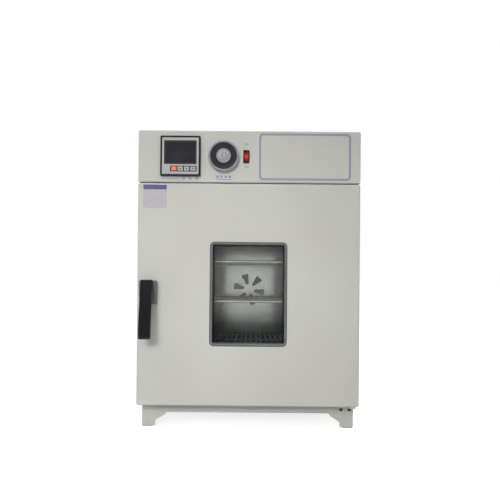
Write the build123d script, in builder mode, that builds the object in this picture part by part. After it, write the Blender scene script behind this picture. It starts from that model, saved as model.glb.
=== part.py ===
"""A bench-top drying oven: insulated cabinet, stainless chamber, hinged door with window, control head.

Millimetres. X runs to the right as one faces the door, Y runs from the door to the rear and Z runs up.
The origin is in the middle of the footprint, on the surface that the oven stands on.
"""

import os
from math import atan2, cos, degrees, radians, sin

from build123d import *

os.makedirs("parts", exist_ok=True)

# Overall sizes
body_width = 535.0
cabinet_depth = 430.0
fascia_height = 125.0
door_height = 534.0
door_thickness = 46.0
handle_reach = 66.0
rear_cover_depth = 52.0

# Gaps between the main assemblies
door_to_cabinet = 6.0
door_to_head = 2.0
door_to_base = 2.0
cabinet_inset = 2.5
fit = 0.2
hidden_gap = 0.4
running_gap = 0.05
end_gap = 1.0
wool_relief = 2.0

# Sheets and edges
sheet = 1.2
liner_sheet = 1.0
base_sheet = 1.5
fascia_edge_radius = 5.0
door_edge_radius = 6.0
pan_corner_radius = 4.0
panel_fold_radius = 5.0
fine_edge = 0.5
small_edge = 0.8
medium_edge = 1.5
soft_edge = 2.0
full_edge = 3.0
top_fold = 15.0

# Louvres and screws of the rear
louvre_width = 60.0
louvre_height = 4.0
louvre_pitch = 10.0
louvre_rows = 7
cover_louvres = 10
cover_flange = 14.0
cover_screw_margin = 12.0
rear_screw_inset = 12.0

# Base with bracket feet
base_height = 60.0
base_inset = 2.0
base_side_inset = 3.5
arch_height = 35.0
foot_width = 33.0
foot_straight = 9.0
foot_corner = 3.0
foot_cove_radius = 10.0
foot_lobe_radius = 19.0
foot_slope = 30.0
foot_lobe_slope = 65.0
glide = 1.5
foot_pad_width = 24.0
foot_pad_height = 30.0

# Chamber
side_wall = 92.5
roof_wall = 50.0
rear_wall = 44.0
fan_space = 36.0
heater_space = 63.0
floor_plate_height = 198.0
baffle_to_floor = 2.0
baffle_post_radius = 5.0
baffle_post_inset = 40.0

# Fan
fan_rise = 136.0
fan_radius = 72.0
fan_disc = 1.5
fan_blade_depth = 24.0
fan_blade_inner = 22.0
fan_blades = 8
fan_hub_radius = 12.0
fan_shaft_radius = 4.0
shaft_clearance = 2.0
fan_hub_setback = 6.0
fan_rim = 1.0
fan_shaft_hold = 20.0
fan_to_baffle = 4.0
petals = 6
petal_inner = 16.0
petal_outer = 47.0
petal_half_angle = 13.0
petal_first_angle = 47.0
motor_radius = 41.0
motor_length = 45.0
motor_flange = 96.0
motor_flange_thickness = 3.0
motor_cover_width = 150.0

# Shelves
shelf_drops = {"shelf_upper": 137.0, "shelf_lower": 238.0}
spare_runner_drop = 68.0
shelf_rear_gap = 18.0
shelf_setback = 32.0
shelf_side_gap = 5.0
shelf_rod_radius = 3.0
shelf_wire_radius = 1.5
shelf_cross_radius = 2.0
shelf_wires = 19
shelf_corner_radius = 12.0
runner_width = 12.0
runner_sheet = 1.2
runner_end_gap = 4.0

# Floor plate slots
slot_width = 6.0
slot_length = 125.0
slot_pitch = 14.0
slot_columns = 21
slot_row_gap = 45.0
slot_end_margin = 12.0
floor_to_plug = 3.0
floor_to_baffle = 2.0

# Heating elements
heater_radius = 4.0
heater_length = 300.0
heater_leg_spacing = 90.0
heater_bend_radius = 40.0
heater_spacing = 160.0
heater_drop = 38.0
heater_nut_radius = 8.0
heater_nut_length = 6.0

# Probe
probe_radius = 2.5
probe_length = 85.0
probe_side = 110.0
probe_drop = 48.0

# Door
window_width = 185.0
window_height = 249.6
window_rise = 1.2
window_corner_radius = 10.0
sight_width = 173.5
sight_height = 238.5
glass_thickness = 4.0
glass_edge = 2.2
glass_recess = 4.0
gasket_front = 1.0
gasket_depth = 9.0
plug_clearance = 7.5
plug_reach = 10.0
plug_edge_radius = 2.0
hinge_from_edge = 14.0
hinge_from_face = 13.0
pin_radius = 5.0
pin_reach = 15.0
bush_wall = 3.0
bush_length = 22.0
hinge_plate = 3.0
bracket_width = 40.0
bracket_tip_radius = 8.0
bracket_from_edge = 6.0
bracket_drop = 26.0
hinge_screw_spacing = 21.0
hinge_screw_drop = 14.0
seal_width = 12.0
seal_from_opening = 4.0
seal_clearance = 0.3

# Handle and latch
handle_from_edge = 28.7
handle_base_width = 40.0
handle_base_bottom = 305.0
handle_pivot_height = 352.0
handle_pivot_reach = 16.0
handle_nose_radius = 10.0
handle_slot = 16.0
handle_back_wall = 5.0
lever_width = 28.0
lever_top = 363.0
lever_bottom = 226.0
lever_eye_radius = 9.0
lever_tail = 5.0
lever_tail_drop = 6.0
grip_top_reach = 39.0
grip_middle_reach = 54.0
grip_middle_rise = 12.0
grip_tip_rise = 6.0
grip_tip_slope = 5.0
grip_tip_thickness = 14.0
grip_tip_lift = 2.0
grip_hollow_reach = 40.0
grip_hollow_rise = 8.0
handle_pin_radius = 3.0
latch_rod_radius = 4.0
latch_rod_height = 325.0
latch_rod_front = 8.0
latch_nose = 10.0
keeper_hole_radius = 7.0
keeper_width = 34.0
keeper_height = 44.0
keeper_sheet = 1.5

# Controls on the head
control_row_rise = -0.3
controller_side = 96.0
controller_x = -165.4
controller_reach = 9.0
controller_border = 4.0
controller_case_side = 91.6
controller_case_depth = 70.0
controller_front_wall = 2.0
controller_corner = 2.5
face_recess = 1.0
case_entry = 2.0
display_width = 77.5
display_height = 56.5
display_lift = 8.3
lens_thickness = 2.0
lens_recess = 0.5
key_width = 12.4
key_height = 10.0
key_pitch = 15.2
key_first_x = -15.2
key_drop = 30.9
key_proud = 1.2
key_travel = 0.8
key_play = 0.3
key_names = ("key_set", "key_shift", "key_down", "key_up")
knob_x = -61.8
knob_radius = 36.6
knob_reach = 12.0
knob_gap = 0.6
knob_top_radius = 35.4
knob_disc_radius = 32.8
knob_groove_width = 0.8
knob_groove_depth = 1.0
knob_shaft_hold = 12.0
dial_plate_radius = 37.2
dial_plate_thickness = 1.6
knob_shaft_radius = 3.0
thermostat_bush_radius = 5.0
thermostat_width = 45.0
thermostat_height = 38.0
thermostat_depth = 28.0
switch_x = -7.4
switch_width = 15.0
switch_height = 32.0
switch_bezel = 1.6
switch_body_width = 12.0
switch_body_height = 27.6
switch_body_depth = 22.0
switch_window_width = 10.6
switch_window_height = 25.6
switch_pocket = 14.0
rocker_width = 10.0
rocker_half_height = 11.6
rocker_tilt = 8.0
rocker_pivot_depth = 3.0
rocker_nose = 6.0
rocker_waist = 4.6
rocker_shoulder = 1.0
rocker_foot = 4.0
rocker_foot_half = 4.5

# Vent through the roof
vent_y = 60.0
vent_radius = 20.0
vent_wall = 1.5
vent_reach = 30.0
vent_flange_radius = 35.0
vent_flange = 2.0
vent_cap_radius = 26.0
vent_cap_wall = 2.0
vent_cap_drop = 14.0
vent_stub = 8.0
vent_cap_gap = 0.5
vent_holes = 6
vent_hole_circle = 11.0
vent_hole_radius = 3.0

# Fasteners and rear fittings
screw_radius = 2.5
screw_head_radius = 4.5
screw_head = 2.5
screw_length = 8.0
gland_x = -200.0
gland_drop = 83.0
gland_radius = 9.0
gland_hex_radius = 13.0
gland_reach = 20.0
gland_hex = 5.0
gland_dome_radius = 10.0
gland_nut = 6.0
cable_bore = 5.0

# Relay on its heat sink, and terminal block
relay_x = 120.0
relay_y = 60.0
sink_width = 80.0
sink_depth = 60.0
sink_base = 8.0
fin_height = 26.0
fin_thickness = 2.0
fins = 9
relay_length = 58.0
relay_width = 44.0
relay_height = 24.0
terminal_length = 110.0
terminal_width = 22.0
terminal_height = 26.0

# Places worked out from the sizes
half_width = body_width / 2
cabinet_half = half_width - cabinet_inset
inside_half = cabinet_half - sheet
total_depth = handle_reach + door_thickness + door_to_cabinet + cabinet_depth + rear_cover_depth
door_face_y = handle_reach - total_depth / 2
door_back_y = door_face_y + door_thickness
cabinet_front_y = door_back_y + door_to_cabinet
cabinet_rear_y = cabinet_front_y + cabinet_depth
frame_back_y = cabinet_front_y + sheet
rear_inside_y = cabinet_rear_y - sheet
door_bottom_z = base_height + door_to_base
door_top_z = door_bottom_z + door_height
deck_z = door_top_z + door_to_head
deck_top_z = deck_z + sheet
top_z = deck_z + fascia_height
control_row_height = deck_z + fascia_height / 2 + control_row_rise
gland_height = top_z - gland_drop
chamber_width = body_width - 2 * side_wall
chamber_depth = cabinet_depth - fan_space - rear_wall
chamber_half = chamber_width / 2
shelf_depth = chamber_depth - shelf_setback - shelf_rear_gap
chamber_floor_z = floor_plate_height - heater_space
chamber_top_z = deck_z - roof_wall
shelf_heights = {name: chamber_top_z - drop for name, drop in shelf_drops.items()}
spare_runner_height = chamber_top_z - spare_runner_drop
probe_height = chamber_top_z - probe_drop
fan_height = floor_plate_height + fan_rise
heater_height = floor_plate_height - heater_drop
baffle_y = cabinet_front_y + chamber_depth
back_wall_y = baffle_y + fan_space
door_middle_z = (door_bottom_z + door_top_z) / 2
window_z = door_middle_z + window_rise
hinge_x = half_width - hinge_from_edge
hinge_y = door_face_y + hinge_from_face
hinge_screw_height = base_height - hinge_screw_drop
handle_x = -half_width + handle_from_edge
base_front_y = cabinet_front_y + base_inset
base_half = cabinet_half - base_side_inset
base_rear_y = cabinet_rear_y - base_inset
plug_back_y = door_back_y + door_to_cabinet + plug_reach
plug_half = chamber_half - plug_clearance
plug_low_z = chamber_floor_z + plug_clearance
plug_high_z = chamber_top_z - plug_clearance
inner_glass_y = plug_back_y - liner_sheet - glass_thickness
pane_width = sight_width + 2 * glass_edge
pane_height = sight_height + 2 * glass_edge
fascia_back_y = door_face_y + sheet
controller_back_y = door_face_y + controller_case_depth
bracket_x = half_width - bracket_width / 2 - bracket_from_edge


def front_plane(y):
    """A plane that faces the user: its own x is the oven's X and its own y is the oven's Z."""
    return Plane(origin=(0, y, 0), x_dir=(1, 0, 0), z_dir=(0, -1, 0))


def side_plane(x):
    """A plane across the oven at x: its own x is the oven's Y and its own y is the oven's Z."""
    return Plane(origin=(x, 0, 0), x_dir=(0, 1, 0), z_dir=(1, 0, 0))


def block(low, high, mode=Mode.ADD):
    """Adds or cuts the box between two corners of the piece that is being built."""
    with Locations(tuple((a + b) / 2 for a, b in zip(low, high))):
        Box(*(b - a for a, b in zip(low, high)), mode=mode)


def rod(start, direction, length, radius, mode=Mode.ADD):
    """Adds or cuts a cylinder that runs from a point along a direction."""
    with BuildSketch(Plane(origin=start, z_dir=direction)) as section:
        Circle(radius)
    extrude(section.sketch, amount=length, mode=mode)


def rounded_block(y, depth, middle, width, height, radius, mode=Mode.ADD):
    """Adds or cuts a box with rounded corners, seen from the front, that runs from y to the rear."""
    with BuildSketch(front_plane(y)) as section:
        with Locations(middle):
            RectangleRounded(width, height, radius)
    extrude(section.sketch, amount=-depth, mode=mode)


def keep(built, name):
    """Labels a finished piece and writes its file."""
    built.part.label = name
    export_step(built.part, f"parts/{name}.step")


def sheet_pan(low_z, high_z, depth, edge_radius):
    """Builds a folded pan that is open to the rear, with rounded upright edges."""
    with BuildPart() as pan:
        block((-half_width, door_face_y, low_z), (half_width, door_face_y + depth, high_z))
        fillet(pan.edges().filter_by(Axis.Z).group_by(Axis.Y)[0], radius=edge_radius)
        fillet(pan.edges().filter_by(Axis.Y), radius=pan_corner_radius)
        offset(amount=-sheet, openings=pan.faces().sort_by(Axis.Y)[-1])
    return pan.part


def screw(start, direction, length):
    """Adds a pan-head screw whose head sits on the sheet and whose shank goes into it."""
    rod(start, direction, screw_head, screw_head_radius)
    rod(start, tuple(-part for part in direction), length, screw_radius)


# Places of the screws that show
hinge_screws = [
    (bracket_x + side * hinge_screw_spacing / 2, base_front_y - hinge_plate, hinge_screw_height)
    for side in (-1, 1)
]
cover_screw_spacing = motor_cover_width - 2 * cover_screw_margin
cover_screws = [
    (side * (motor_cover_width + cover_flange) / 2, cabinet_rear_y + sheet, fan_height + rise)
    for side in (-1, 1)
    for rise in (-cover_screw_spacing / 2, cover_screw_spacing / 2)
]
rear_screws = [
    (side * (inside_half - rear_screw_inset), cabinet_rear_y, height)
    for side in (-1, 1)
    for height in (
        base_height + 3 * rear_screw_inset,
        (base_height + top_z) / 2,
        top_z - 3 * rear_screw_inset,
    )
]

# Side panels, each with its top edge folded inwards
for side, name, inner in (
    (-1, "side_panel_left", Side.RIGHT),
    (1, "side_panel_right", Side.LEFT),
):
    with BuildPart() as side_panel:
        with BuildSketch(front_plane(cabinet_front_y)):
            with BuildLine():
                FilletPolyline(
                    (side * cabinet_half, base_height),
                    (side * cabinet_half, top_z),
                    (side * (cabinet_half - top_fold), top_z),
                    radius=panel_fold_radius,
                )
                offset(amount=sheet, side=inner)
            make_face()
        extrude(amount=-cabinet_depth)
    keep(side_panel, name)

# Top panel, between the folds, with the hole for the vent
with BuildPart() as top_panel:
    top_half = cabinet_half - top_fold - fit
    block((-top_half, cabinet_front_y, top_z - sheet), (top_half, cabinet_rear_y, top_z))
    rod((0, vent_y, top_z - 2 * sheet), (0, 0, 1), 3 * sheet, vent_radius + fit, Mode.SUBTRACT)
keep(top_panel, "top_panel")

# Bottom panel
with BuildPart() as bottom_panel:
    block(
        (-inside_half, cabinet_front_y, base_height),
        (inside_half, cabinet_rear_y, base_height + sheet),
    )
keep(bottom_panel, "bottom_panel")

# Rear panel, with louvre slots for the electrics and the holes for the shaft, gland and screws
shaft_hole_radius = fan_shaft_radius + shaft_clearance
with BuildPart() as rear_panel:
    block(
        (-inside_half, rear_inside_y, base_height + sheet),
        (inside_half, cabinet_rear_y, top_z - sheet),
    )
    fillet(rear_panel.edges().filter_by(Axis.Y).group_by(Axis.Z)[-1], radius=panel_fold_radius)
    with BuildSketch(front_plane(cabinet_rear_y)):
        with Locations((0, control_row_height)):
            with GridLocations(1.5 * louvre_width, louvre_pitch, 3, louvre_rows):
                SlotOverall(louvre_width, louvre_height)
        with Locations((0, fan_height)):
            Circle(shaft_hole_radius)
        with Locations((gland_x, gland_height)):
            Circle(gland_radius)
    extrude(amount=sheet, mode=Mode.SUBTRACT)
    for x, y, z in rear_screws + cover_screws:
        rod((x, rear_inside_y, z), (0, 1, 0), sheet, screw_radius, Mode.SUBTRACT)
keep(rear_panel, "rear_panel")

# Front frame round the chamber mouth
with BuildPart() as front_frame:
    block(
        (-inside_half, cabinet_front_y, base_height + sheet),
        (inside_half, frame_back_y, deck_z),
    )
    block(
        (-chamber_half, cabinet_front_y, chamber_floor_z),
        (chamber_half, frame_back_y, chamber_top_z),
        Mode.SUBTRACT,
    )
    rod(
        (handle_x, cabinet_front_y, latch_rod_height),
        (0, 1, 0),
        sheet,
        keeper_hole_radius,
        Mode.SUBTRACT,
    )
keep(front_frame, "front_frame")


def base_plate(plane, half_length, thickness):
    """Builds a base plate that stands on a bracket-shaped foot at each end, with an arch between."""
    foot_x = half_length - foot_width
    cove_rise = foot_cove_radius * cos(radians(foot_slope))
    lobe_rise = foot_lobe_radius * (cos(radians(foot_slope)) - cos(radians(foot_lobe_slope)))
    slope_rise = arch_height - foot_straight - cove_rise - lobe_rise
    slope_length = slope_rise / sin(radians(foot_slope))
    with BuildPart() as plate:
        with BuildSketch(plane):
            with Locations((0, (base_height + glide) / 2)):
                Rectangle(2 * half_length, base_height - glide)
        extrude(amount=thickness)
        with BuildSketch(plane):
            with BuildLine():
                Line((0, 0), (foot_x + foot_corner, 0))
                Line((foot_x + foot_corner, 0), (foot_x + foot_corner, glide))
                JernArc((foot_x + foot_corner, glide), (-1, 0), foot_corner, -90)
                Line((foot_x, glide + foot_corner), (foot_x, foot_straight))
                cove = JernArc((foot_x, foot_straight), (0, 1), foot_cove_radius, 90 - foot_slope)
                slope = PolarLine(cove @ 1, slope_length, 180 - foot_slope)
                lobe_turn = foot_slope - foot_lobe_slope
                lobe = JernArc(slope @ 1, slope % 1, foot_lobe_radius, lobe_turn)
                Line(lobe @ 1, (0, arch_height))
                Line((0, arch_height), (0, 0))
            make_face()
            mirror(about=Plane.YZ)
        extrude(amount=thickness, mode=Mode.SUBTRACT)
    return plate.part


# Base plates: front and rear run the whole width, and the sides fit between them
front_plate = base_plate(front_plane(base_front_y), base_half, -base_sheet)
with BuildPart() as base_front:
    add(front_plate)
    for x, y, z in hinge_screws:
        rod((x, base_front_y, z), (0, 1, 0), base_sheet, screw_radius, Mode.SUBTRACT)
keep(base_front, "base_front")

rear_plate = base_plate(front_plane(base_rear_y), base_half, base_sheet)
with BuildPart() as base_rear:
    add(rear_plate)
keep(base_rear, "base_rear")

base_side_half = (base_rear_y - base_front_y) / 2 - base_sheet
base_middle_y = (base_rear_y + base_front_y) / 2
side_plates = [
    base_plate(
        Plane(origin=(x, base_middle_y, 0), x_dir=(0, 1, 0), z_dir=(1, 0, 0)),
        base_side_half,
        inwards,
    )
    for x, inwards in ((-base_half, base_sheet), (base_half, -base_sheet))
]
with BuildPart() as base_sides:
    for side_plate in side_plates:
        add(side_plate)
keep(base_sides, "base_sides")

# Foot pads in the four corners of the base
pad_x = base_half - base_sheet - foot_pad_width / 2
pad_front_y = base_front_y + base_sheet + foot_pad_width / 2
pad_rear_y = base_rear_y - base_sheet - foot_pad_width / 2
with BuildPart() as foot_pads:
    for x in (-pad_x, pad_x):
        for y in (pad_front_y, pad_rear_y):
            block(
                (x - foot_pad_width / 2, y - foot_pad_width / 2, 0),
                (x + foot_pad_width / 2, y + foot_pad_width / 2, foot_pad_height),
            )
keep(foot_pads, "foot_pads")

# Chamber side walls
with BuildPart() as chamber_side_walls:
    for x in (-chamber_half - liner_sheet, chamber_half):
        block(
            (x, frame_back_y, chamber_floor_z - liner_sheet),
            (x + liner_sheet, back_wall_y + liner_sheet, chamber_top_z + liner_sheet),
        )
keep(chamber_side_walls, "chamber_side_walls")

# Chamber ceiling, with the hole for the vent
with BuildPart() as chamber_ceiling:
    block(
        (-chamber_half, frame_back_y, chamber_top_z),
        (chamber_half, back_wall_y + liner_sheet, chamber_top_z + liner_sheet),
    )
    rod(
        (0, vent_y, chamber_top_z),
        (0, 0, 1),
        liner_sheet,
        vent_radius + fit,
        Mode.SUBTRACT,
    )
keep(chamber_ceiling, "chamber_ceiling")

# Floor pan under the heating elements
with BuildPart() as chamber_floor_pan:
    block(
        (-chamber_half, frame_back_y, chamber_floor_z - liner_sheet),
        (chamber_half, back_wall_y + liner_sheet, chamber_floor_z),
    )
keep(chamber_floor_pan, "chamber_floor_pan")

# Heater legs and posts, placed once for every piece that they pass through
heater_leg_xs = [
    middle + side * heater_leg_spacing / 2
    for middle in (-heater_spacing / 2, heater_spacing / 2)
    for side in (-1, 1)
]
post_x = chamber_half - baffle_post_inset
post_zs = (floor_plate_height + baffle_post_inset, chamber_top_z - baffle_post_inset)

# Chamber back wall, with holes for the shaft, the heater legs and the probe
with BuildPart() as chamber_back_wall:
    block(
        (-chamber_half, back_wall_y, chamber_floor_z),
        (chamber_half, back_wall_y + liner_sheet, chamber_top_z),
    )
    wall_holes = [(0, fan_height, shaft_hole_radius), (probe_side, probe_height, probe_radius)]
    wall_holes += [(x, heater_height, heater_radius) for x in heater_leg_xs]
    for x, z, radius in wall_holes:
        rod((x, back_wall_y, z), (0, 1, 0), liner_sheet, radius + fit, Mode.SUBTRACT)
keep(chamber_back_wall, "chamber_back_wall")

# Slotted floor plate that stands on its folded sides over the heating elements
floor_half = chamber_half - 2 * fit
floor_front_y = frame_back_y + plug_reach + floor_to_plug
floor_back_y = baffle_y - floor_to_baffle
slot_rows_middle = floor_back_y - slot_length - slot_row_gap / 2 - slot_end_margin
with BuildPart() as slotted_floor_plate:
    block(
        (-floor_half, floor_front_y, chamber_floor_z),
        (floor_half, floor_back_y, floor_plate_height),
    )
    block(
        (-floor_half + liner_sheet, floor_front_y, chamber_floor_z),
        (floor_half - liner_sheet, floor_back_y, floor_plate_height - liner_sheet),
        Mode.SUBTRACT,
    )
    with BuildSketch(Plane.XY.offset(floor_plate_height)):
        with Locations((0, slot_rows_middle)):
            with GridLocations(slot_pitch, slot_length + slot_row_gap, slot_columns, 2):
                SlotOverall(slot_length, slot_width, rotation=90)
    extrude(amount=-liner_sheet, mode=Mode.SUBTRACT)
keep(slotted_floor_plate, "slotted_floor_plate")

# Air baffle with six wedge-shaped slots, carried by four posts on the back wall
baffle_half = chamber_half - 2 * fit
petal_across = cos(radians(petal_half_angle))
petal_up = sin(radians(petal_half_angle))
with BuildSketch() as petal:
    with BuildLine():
        Line(
            (petal_inner * petal_across, petal_inner * petal_up),
            (petal_outer * petal_across, petal_outer * petal_up),
        )
        CenterArc((0, 0), petal_outer, petal_half_angle, -2 * petal_half_angle)
        Line(
            (petal_outer * petal_across, -petal_outer * petal_up),
            (petal_inner * petal_across, -petal_inner * petal_up),
        )
        CenterArc((0, 0), petal_inner, -petal_half_angle, 2 * petal_half_angle)
    make_face()
with BuildPart() as air_baffle:
    block(
        (-baffle_half, baffle_y, floor_plate_height + baffle_to_floor),
        (baffle_half, baffle_y + liner_sheet, chamber_top_z - 2 * fit),
    )
    for x in (-post_x, post_x):
        for z in post_zs:
            rod(
                (x, baffle_y + liner_sheet, z),
                (0, 1, 0),
                fan_space - liner_sheet,
                baffle_post_radius,
            )
    with BuildSketch(front_plane(baffle_y)):
        with Locations((0, fan_height)):
            with PolarLocations(0, petals, start_angle=petal_first_angle):
                add(petal.sketch)
    extrude(amount=-liner_sheet, mode=Mode.SUBTRACT)
    rod(
        (probe_side, baffle_y, probe_height),
        (0, 1, 0),
        liner_sheet,
        probe_radius + fit,
        Mode.SUBTRACT,
    )
keep(air_baffle, "air_baffle")

# Insulation blocks on the five closed sides of the chamber
liner_half = chamber_half + liner_sheet
slab_low_z = base_height + sheet + hidden_gap
slab_high_z = deck_z - hidden_gap
slab_front_y = frame_back_y + hidden_gap
slab_rear_y = rear_inside_y - hidden_gap
latch_pocket = 20.0
with BuildPart() as cabinet_insulation:
    for side in (-1, 1):
        xs = sorted((side * (liner_half + hidden_gap), side * (inside_half - hidden_gap)))
        block((xs[0], slab_front_y, slab_low_z), (xs[1], slab_rear_y, slab_high_z))
    block(
        (-liner_half, slab_front_y, chamber_top_z + liner_sheet + hidden_gap),
        (liner_half, slab_rear_y, slab_high_z),
    )
    block(
        (-liner_half, slab_front_y, slab_low_z),
        (liner_half, slab_rear_y, chamber_floor_z - liner_sheet - hidden_gap),
    )
    block(
        (-liner_half, back_wall_y + liner_sheet + hidden_gap, chamber_floor_z - liner_sheet),
        (liner_half, slab_rear_y, chamber_top_z + liner_sheet),
    )
    rod(
        (0, vent_y, chamber_top_z),
        (0, 0, 1),
        deck_z - chamber_top_z,
        vent_radius + hidden_gap,
        Mode.SUBTRACT,
    )
    rod(
        (0, back_wall_y, fan_height),
        (0, 1, 0),
        rear_inside_y - back_wall_y,
        shaft_hole_radius,
        Mode.SUBTRACT,
    )
    for x in heater_leg_xs:
        rod(
            (x, back_wall_y, heater_height),
            (0, 1, 0),
            heater_nut_length + wool_relief,
            heater_nut_radius + hidden_gap,
            Mode.SUBTRACT,
        )
    rod(
        (probe_side, back_wall_y, probe_height),
        (0, 1, 0),
        latch_pocket,
        2 * probe_radius + hidden_gap,
        Mode.SUBTRACT,
    )
    rod(
        (handle_x, frame_back_y, latch_rod_height),
        (0, 1, 0),
        latch_pocket,
        keeper_hole_radius,
        Mode.SUBTRACT,
    )
keep(cabinet_insulation, "cabinet_insulation")

# Heating elements: two hairpins under the floor plate, screwed through the back wall
heater_front_y = back_wall_y - heater_length
with BuildPart() as heating_elements:
    for middle in (-heater_spacing / 2, heater_spacing / 2):
        left = middle - heater_leg_spacing / 2
        right = middle + heater_leg_spacing / 2
        start_y = back_wall_y + liner_sheet + heater_nut_length
        with BuildLine(Plane.XY.offset(heater_height)):
            FilletPolyline(
                (left, start_y),
                (left, heater_front_y),
                (right, heater_front_y),
                (right, start_y),
                radius=heater_bend_radius,
            )
        with BuildSketch(
            Plane(origin=(left, start_y, heater_height), x_dir=(1, 0, 0), z_dir=(0, -1, 0))
        ):
            Circle(heater_radius)
        sweep()
    for x in heater_leg_xs:
        rod(
            (x, back_wall_y + liner_sheet, heater_height),
            (0, 1, 0),
            heater_nut_length,
            heater_nut_radius,
        )
keep(heating_elements, "heating_elements")

# Temperature probe
with BuildPart() as temperature_probe:
    rod(
        (probe_side, back_wall_y + liner_sheet, probe_height),
        (0, -1, 0),
        probe_length,
        probe_radius,
    )
    rod(
        (probe_side, back_wall_y + liner_sheet, probe_height),
        (0, 1, 0),
        latch_pocket / 2,
        2 * probe_radius,
    )
keep(temperature_probe, "temperature_probe")

# Shelf runners: angles on the side walls, one pair for each shelf and one to spare
runner_front_y = frame_back_y + plug_reach + runner_end_gap
runner_back_y = baffle_y - runner_end_gap
shelf_drop = shelf_rod_radius + fit
with BuildPart() as shelf_runners:
    for level in (*shelf_heights.values(), spare_runner_height):
        top = level - shelf_drop
        for side in (-1, 1):
            wall = side * chamber_half
            edge = side * (chamber_half - runner_width)
            flange = side * (chamber_half - runner_sheet)
            block(
                (min(wall, edge), runner_front_y, top - runner_sheet),
                (max(wall, edge), runner_back_y, top),
            )
            block(
                (min(wall, flange), runner_front_y, top - runner_width),
                (max(wall, flange), runner_back_y, top),
            )
keep(shelf_runners, "shelf_runners")

# Wire shelves: a bent rod frame with wires from front to back
shelf_front_y = cabinet_front_y + shelf_setback
shelf_back_y = shelf_front_y + shelf_depth
shelf_half = chamber_half - shelf_side_gap
frame_line_half = shelf_half - shelf_rod_radius
for name, level in shelf_heights.items():
    with BuildPart() as shelf:
        line_front = shelf_front_y + shelf_rod_radius
        line_back = shelf_back_y - shelf_rod_radius
        with BuildLine(Plane.XY.offset(level)):
            FilletPolyline(
                (0, line_front),
                (frame_line_half, line_front),
                (frame_line_half, line_back),
                (0, line_back),
                radius=shelf_corner_radius,
            )
        with BuildSketch(Plane(origin=(0, line_front, level), z_dir=(1, 0, 0))):
            Circle(shelf_rod_radius)
        sweep()
        mirror(about=Plane.YZ)
        wire_pitch = 2 * frame_line_half / (shelf_wires + 1)
        for number in range(1, shelf_wires + 1):
            rod(
                (-frame_line_half + number * wire_pitch, line_front, level),
                (0, 1, 0),
                line_back - line_front,
                shelf_wire_radius,
            )
        rod(
            (-frame_line_half, (line_front + line_back) / 2, level),
            (1, 0, 0),
            2 * frame_line_half,
            shelf_cross_radius,
        )
    keep(shelf, name)

# Door seal on the front frame, round the chamber mouth
seal_depth = door_to_cabinet - seal_clearance
mouth_z = (chamber_floor_z + chamber_top_z) / 2
mouth_height = chamber_top_z - chamber_floor_z
with BuildPart() as door_seal:
    rounded_block(
        cabinet_front_y - seal_depth,
        seal_depth,
        (0, mouth_z),
        chamber_width + 2 * (seal_from_opening + seal_width),
        mouth_height + 2 * (seal_from_opening + seal_width),
        seal_from_opening + seal_width,
    )
    rounded_block(
        cabinet_front_y - seal_depth,
        seal_depth,
        (0, mouth_z),
        chamber_width + 2 * seal_from_opening,
        mouth_height + 2 * seal_from_opening,
        seal_from_opening,
        Mode.SUBTRACT,
    )
    fillet(door_seal.faces().sort_by(Axis.Y)[0].edges(), radius=seal_width / 4)
keep(door_seal, "door_seal")

# Fan wheel with its shaft: blades on a disc behind the baffle
fan_front_y = baffle_y + liner_sheet + fan_to_baffle
fan_disc_y = fan_front_y + fan_blade_depth
with BuildPart() as fan_wheel:
    rod((0, fan_disc_y, fan_height), (0, 1, 0), fan_disc, fan_radius)
    rod(
        (0, fan_front_y + fan_hub_setback, fan_height),
        (0, 1, 0),
        fan_blade_depth - fan_hub_setback,
        fan_hub_radius,
    )
    rod(
        (0, fan_disc_y, fan_height),
        (0, 1, 0),
        cabinet_rear_y + fan_shaft_hold - fan_disc_y,
        fan_shaft_radius,
    )
    with BuildSketch(front_plane(fan_disc_y)):
        with Locations((0, fan_height)):
            with PolarLocations((fan_radius + fan_blade_inner) / 2, fan_blades):
                Rectangle(fan_radius - fan_blade_inner - 2 * fan_rim, fan_disc)
    extrude(amount=fan_blade_depth)
keep(fan_wheel, "fan_wheel")

# Fan motor on the rear panel
with BuildPart() as fan_motor:
    block(
        (-motor_flange / 2, cabinet_rear_y, fan_height - motor_flange / 2),
        (motor_flange / 2, cabinet_rear_y + motor_flange_thickness, fan_height + motor_flange / 2),
    )
    fillet(fan_motor.edges().filter_by(Axis.Y), radius=pan_corner_radius)
    rod((0, cabinet_rear_y, fan_height), (0, 1, 0), motor_length, motor_radius)
    fillet(fan_motor.edges().sort_by(Axis.Y)[-1], radius=full_edge)
    rod(
        (0, cabinet_rear_y, fan_height),
        (0, 1, 0),
        fan_shaft_hold + end_gap,
        fan_shaft_radius + running_gap,
        Mode.SUBTRACT,
    )
keep(fan_motor, "fan_motor")

# Motor cover: a folded box with a flange and louvre slots
cover_half = motor_cover_width / 2
cover_back_y = cabinet_rear_y + rear_cover_depth
with BuildPart() as motor_cover:
    block(
        (-cover_half, cabinet_rear_y, fan_height - cover_half),
        (cover_half, cover_back_y, fan_height + cover_half),
    )
    fillet(motor_cover.edges().group_by(Axis.Y)[-1], radius=pan_corner_radius)
    offset(amount=-sheet, openings=motor_cover.faces().sort_by(Axis.Y)[0])
    for side in (-1, 1):
        xs = sorted((side * cover_half, side * (cover_half + cover_flange)))
        block(
            (xs[0], cabinet_rear_y, fan_height - cover_half),
            (xs[1], cabinet_rear_y + sheet, fan_height + cover_half),
        )
    with BuildSketch(front_plane(cover_back_y)):
        with Locations((0, fan_height)):
            with GridLocations(louvre_width, louvre_pitch, 1, cover_louvres):
                SlotOverall(1.5 * louvre_width, louvre_height)
    extrude(amount=sheet, mode=Mode.SUBTRACT)
    for x, y, z in cover_screws:
        rod((x, cabinet_rear_y, z), (0, 1, 0), sheet, screw_radius, Mode.SUBTRACT)
keep(motor_cover, "motor_cover")

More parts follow.
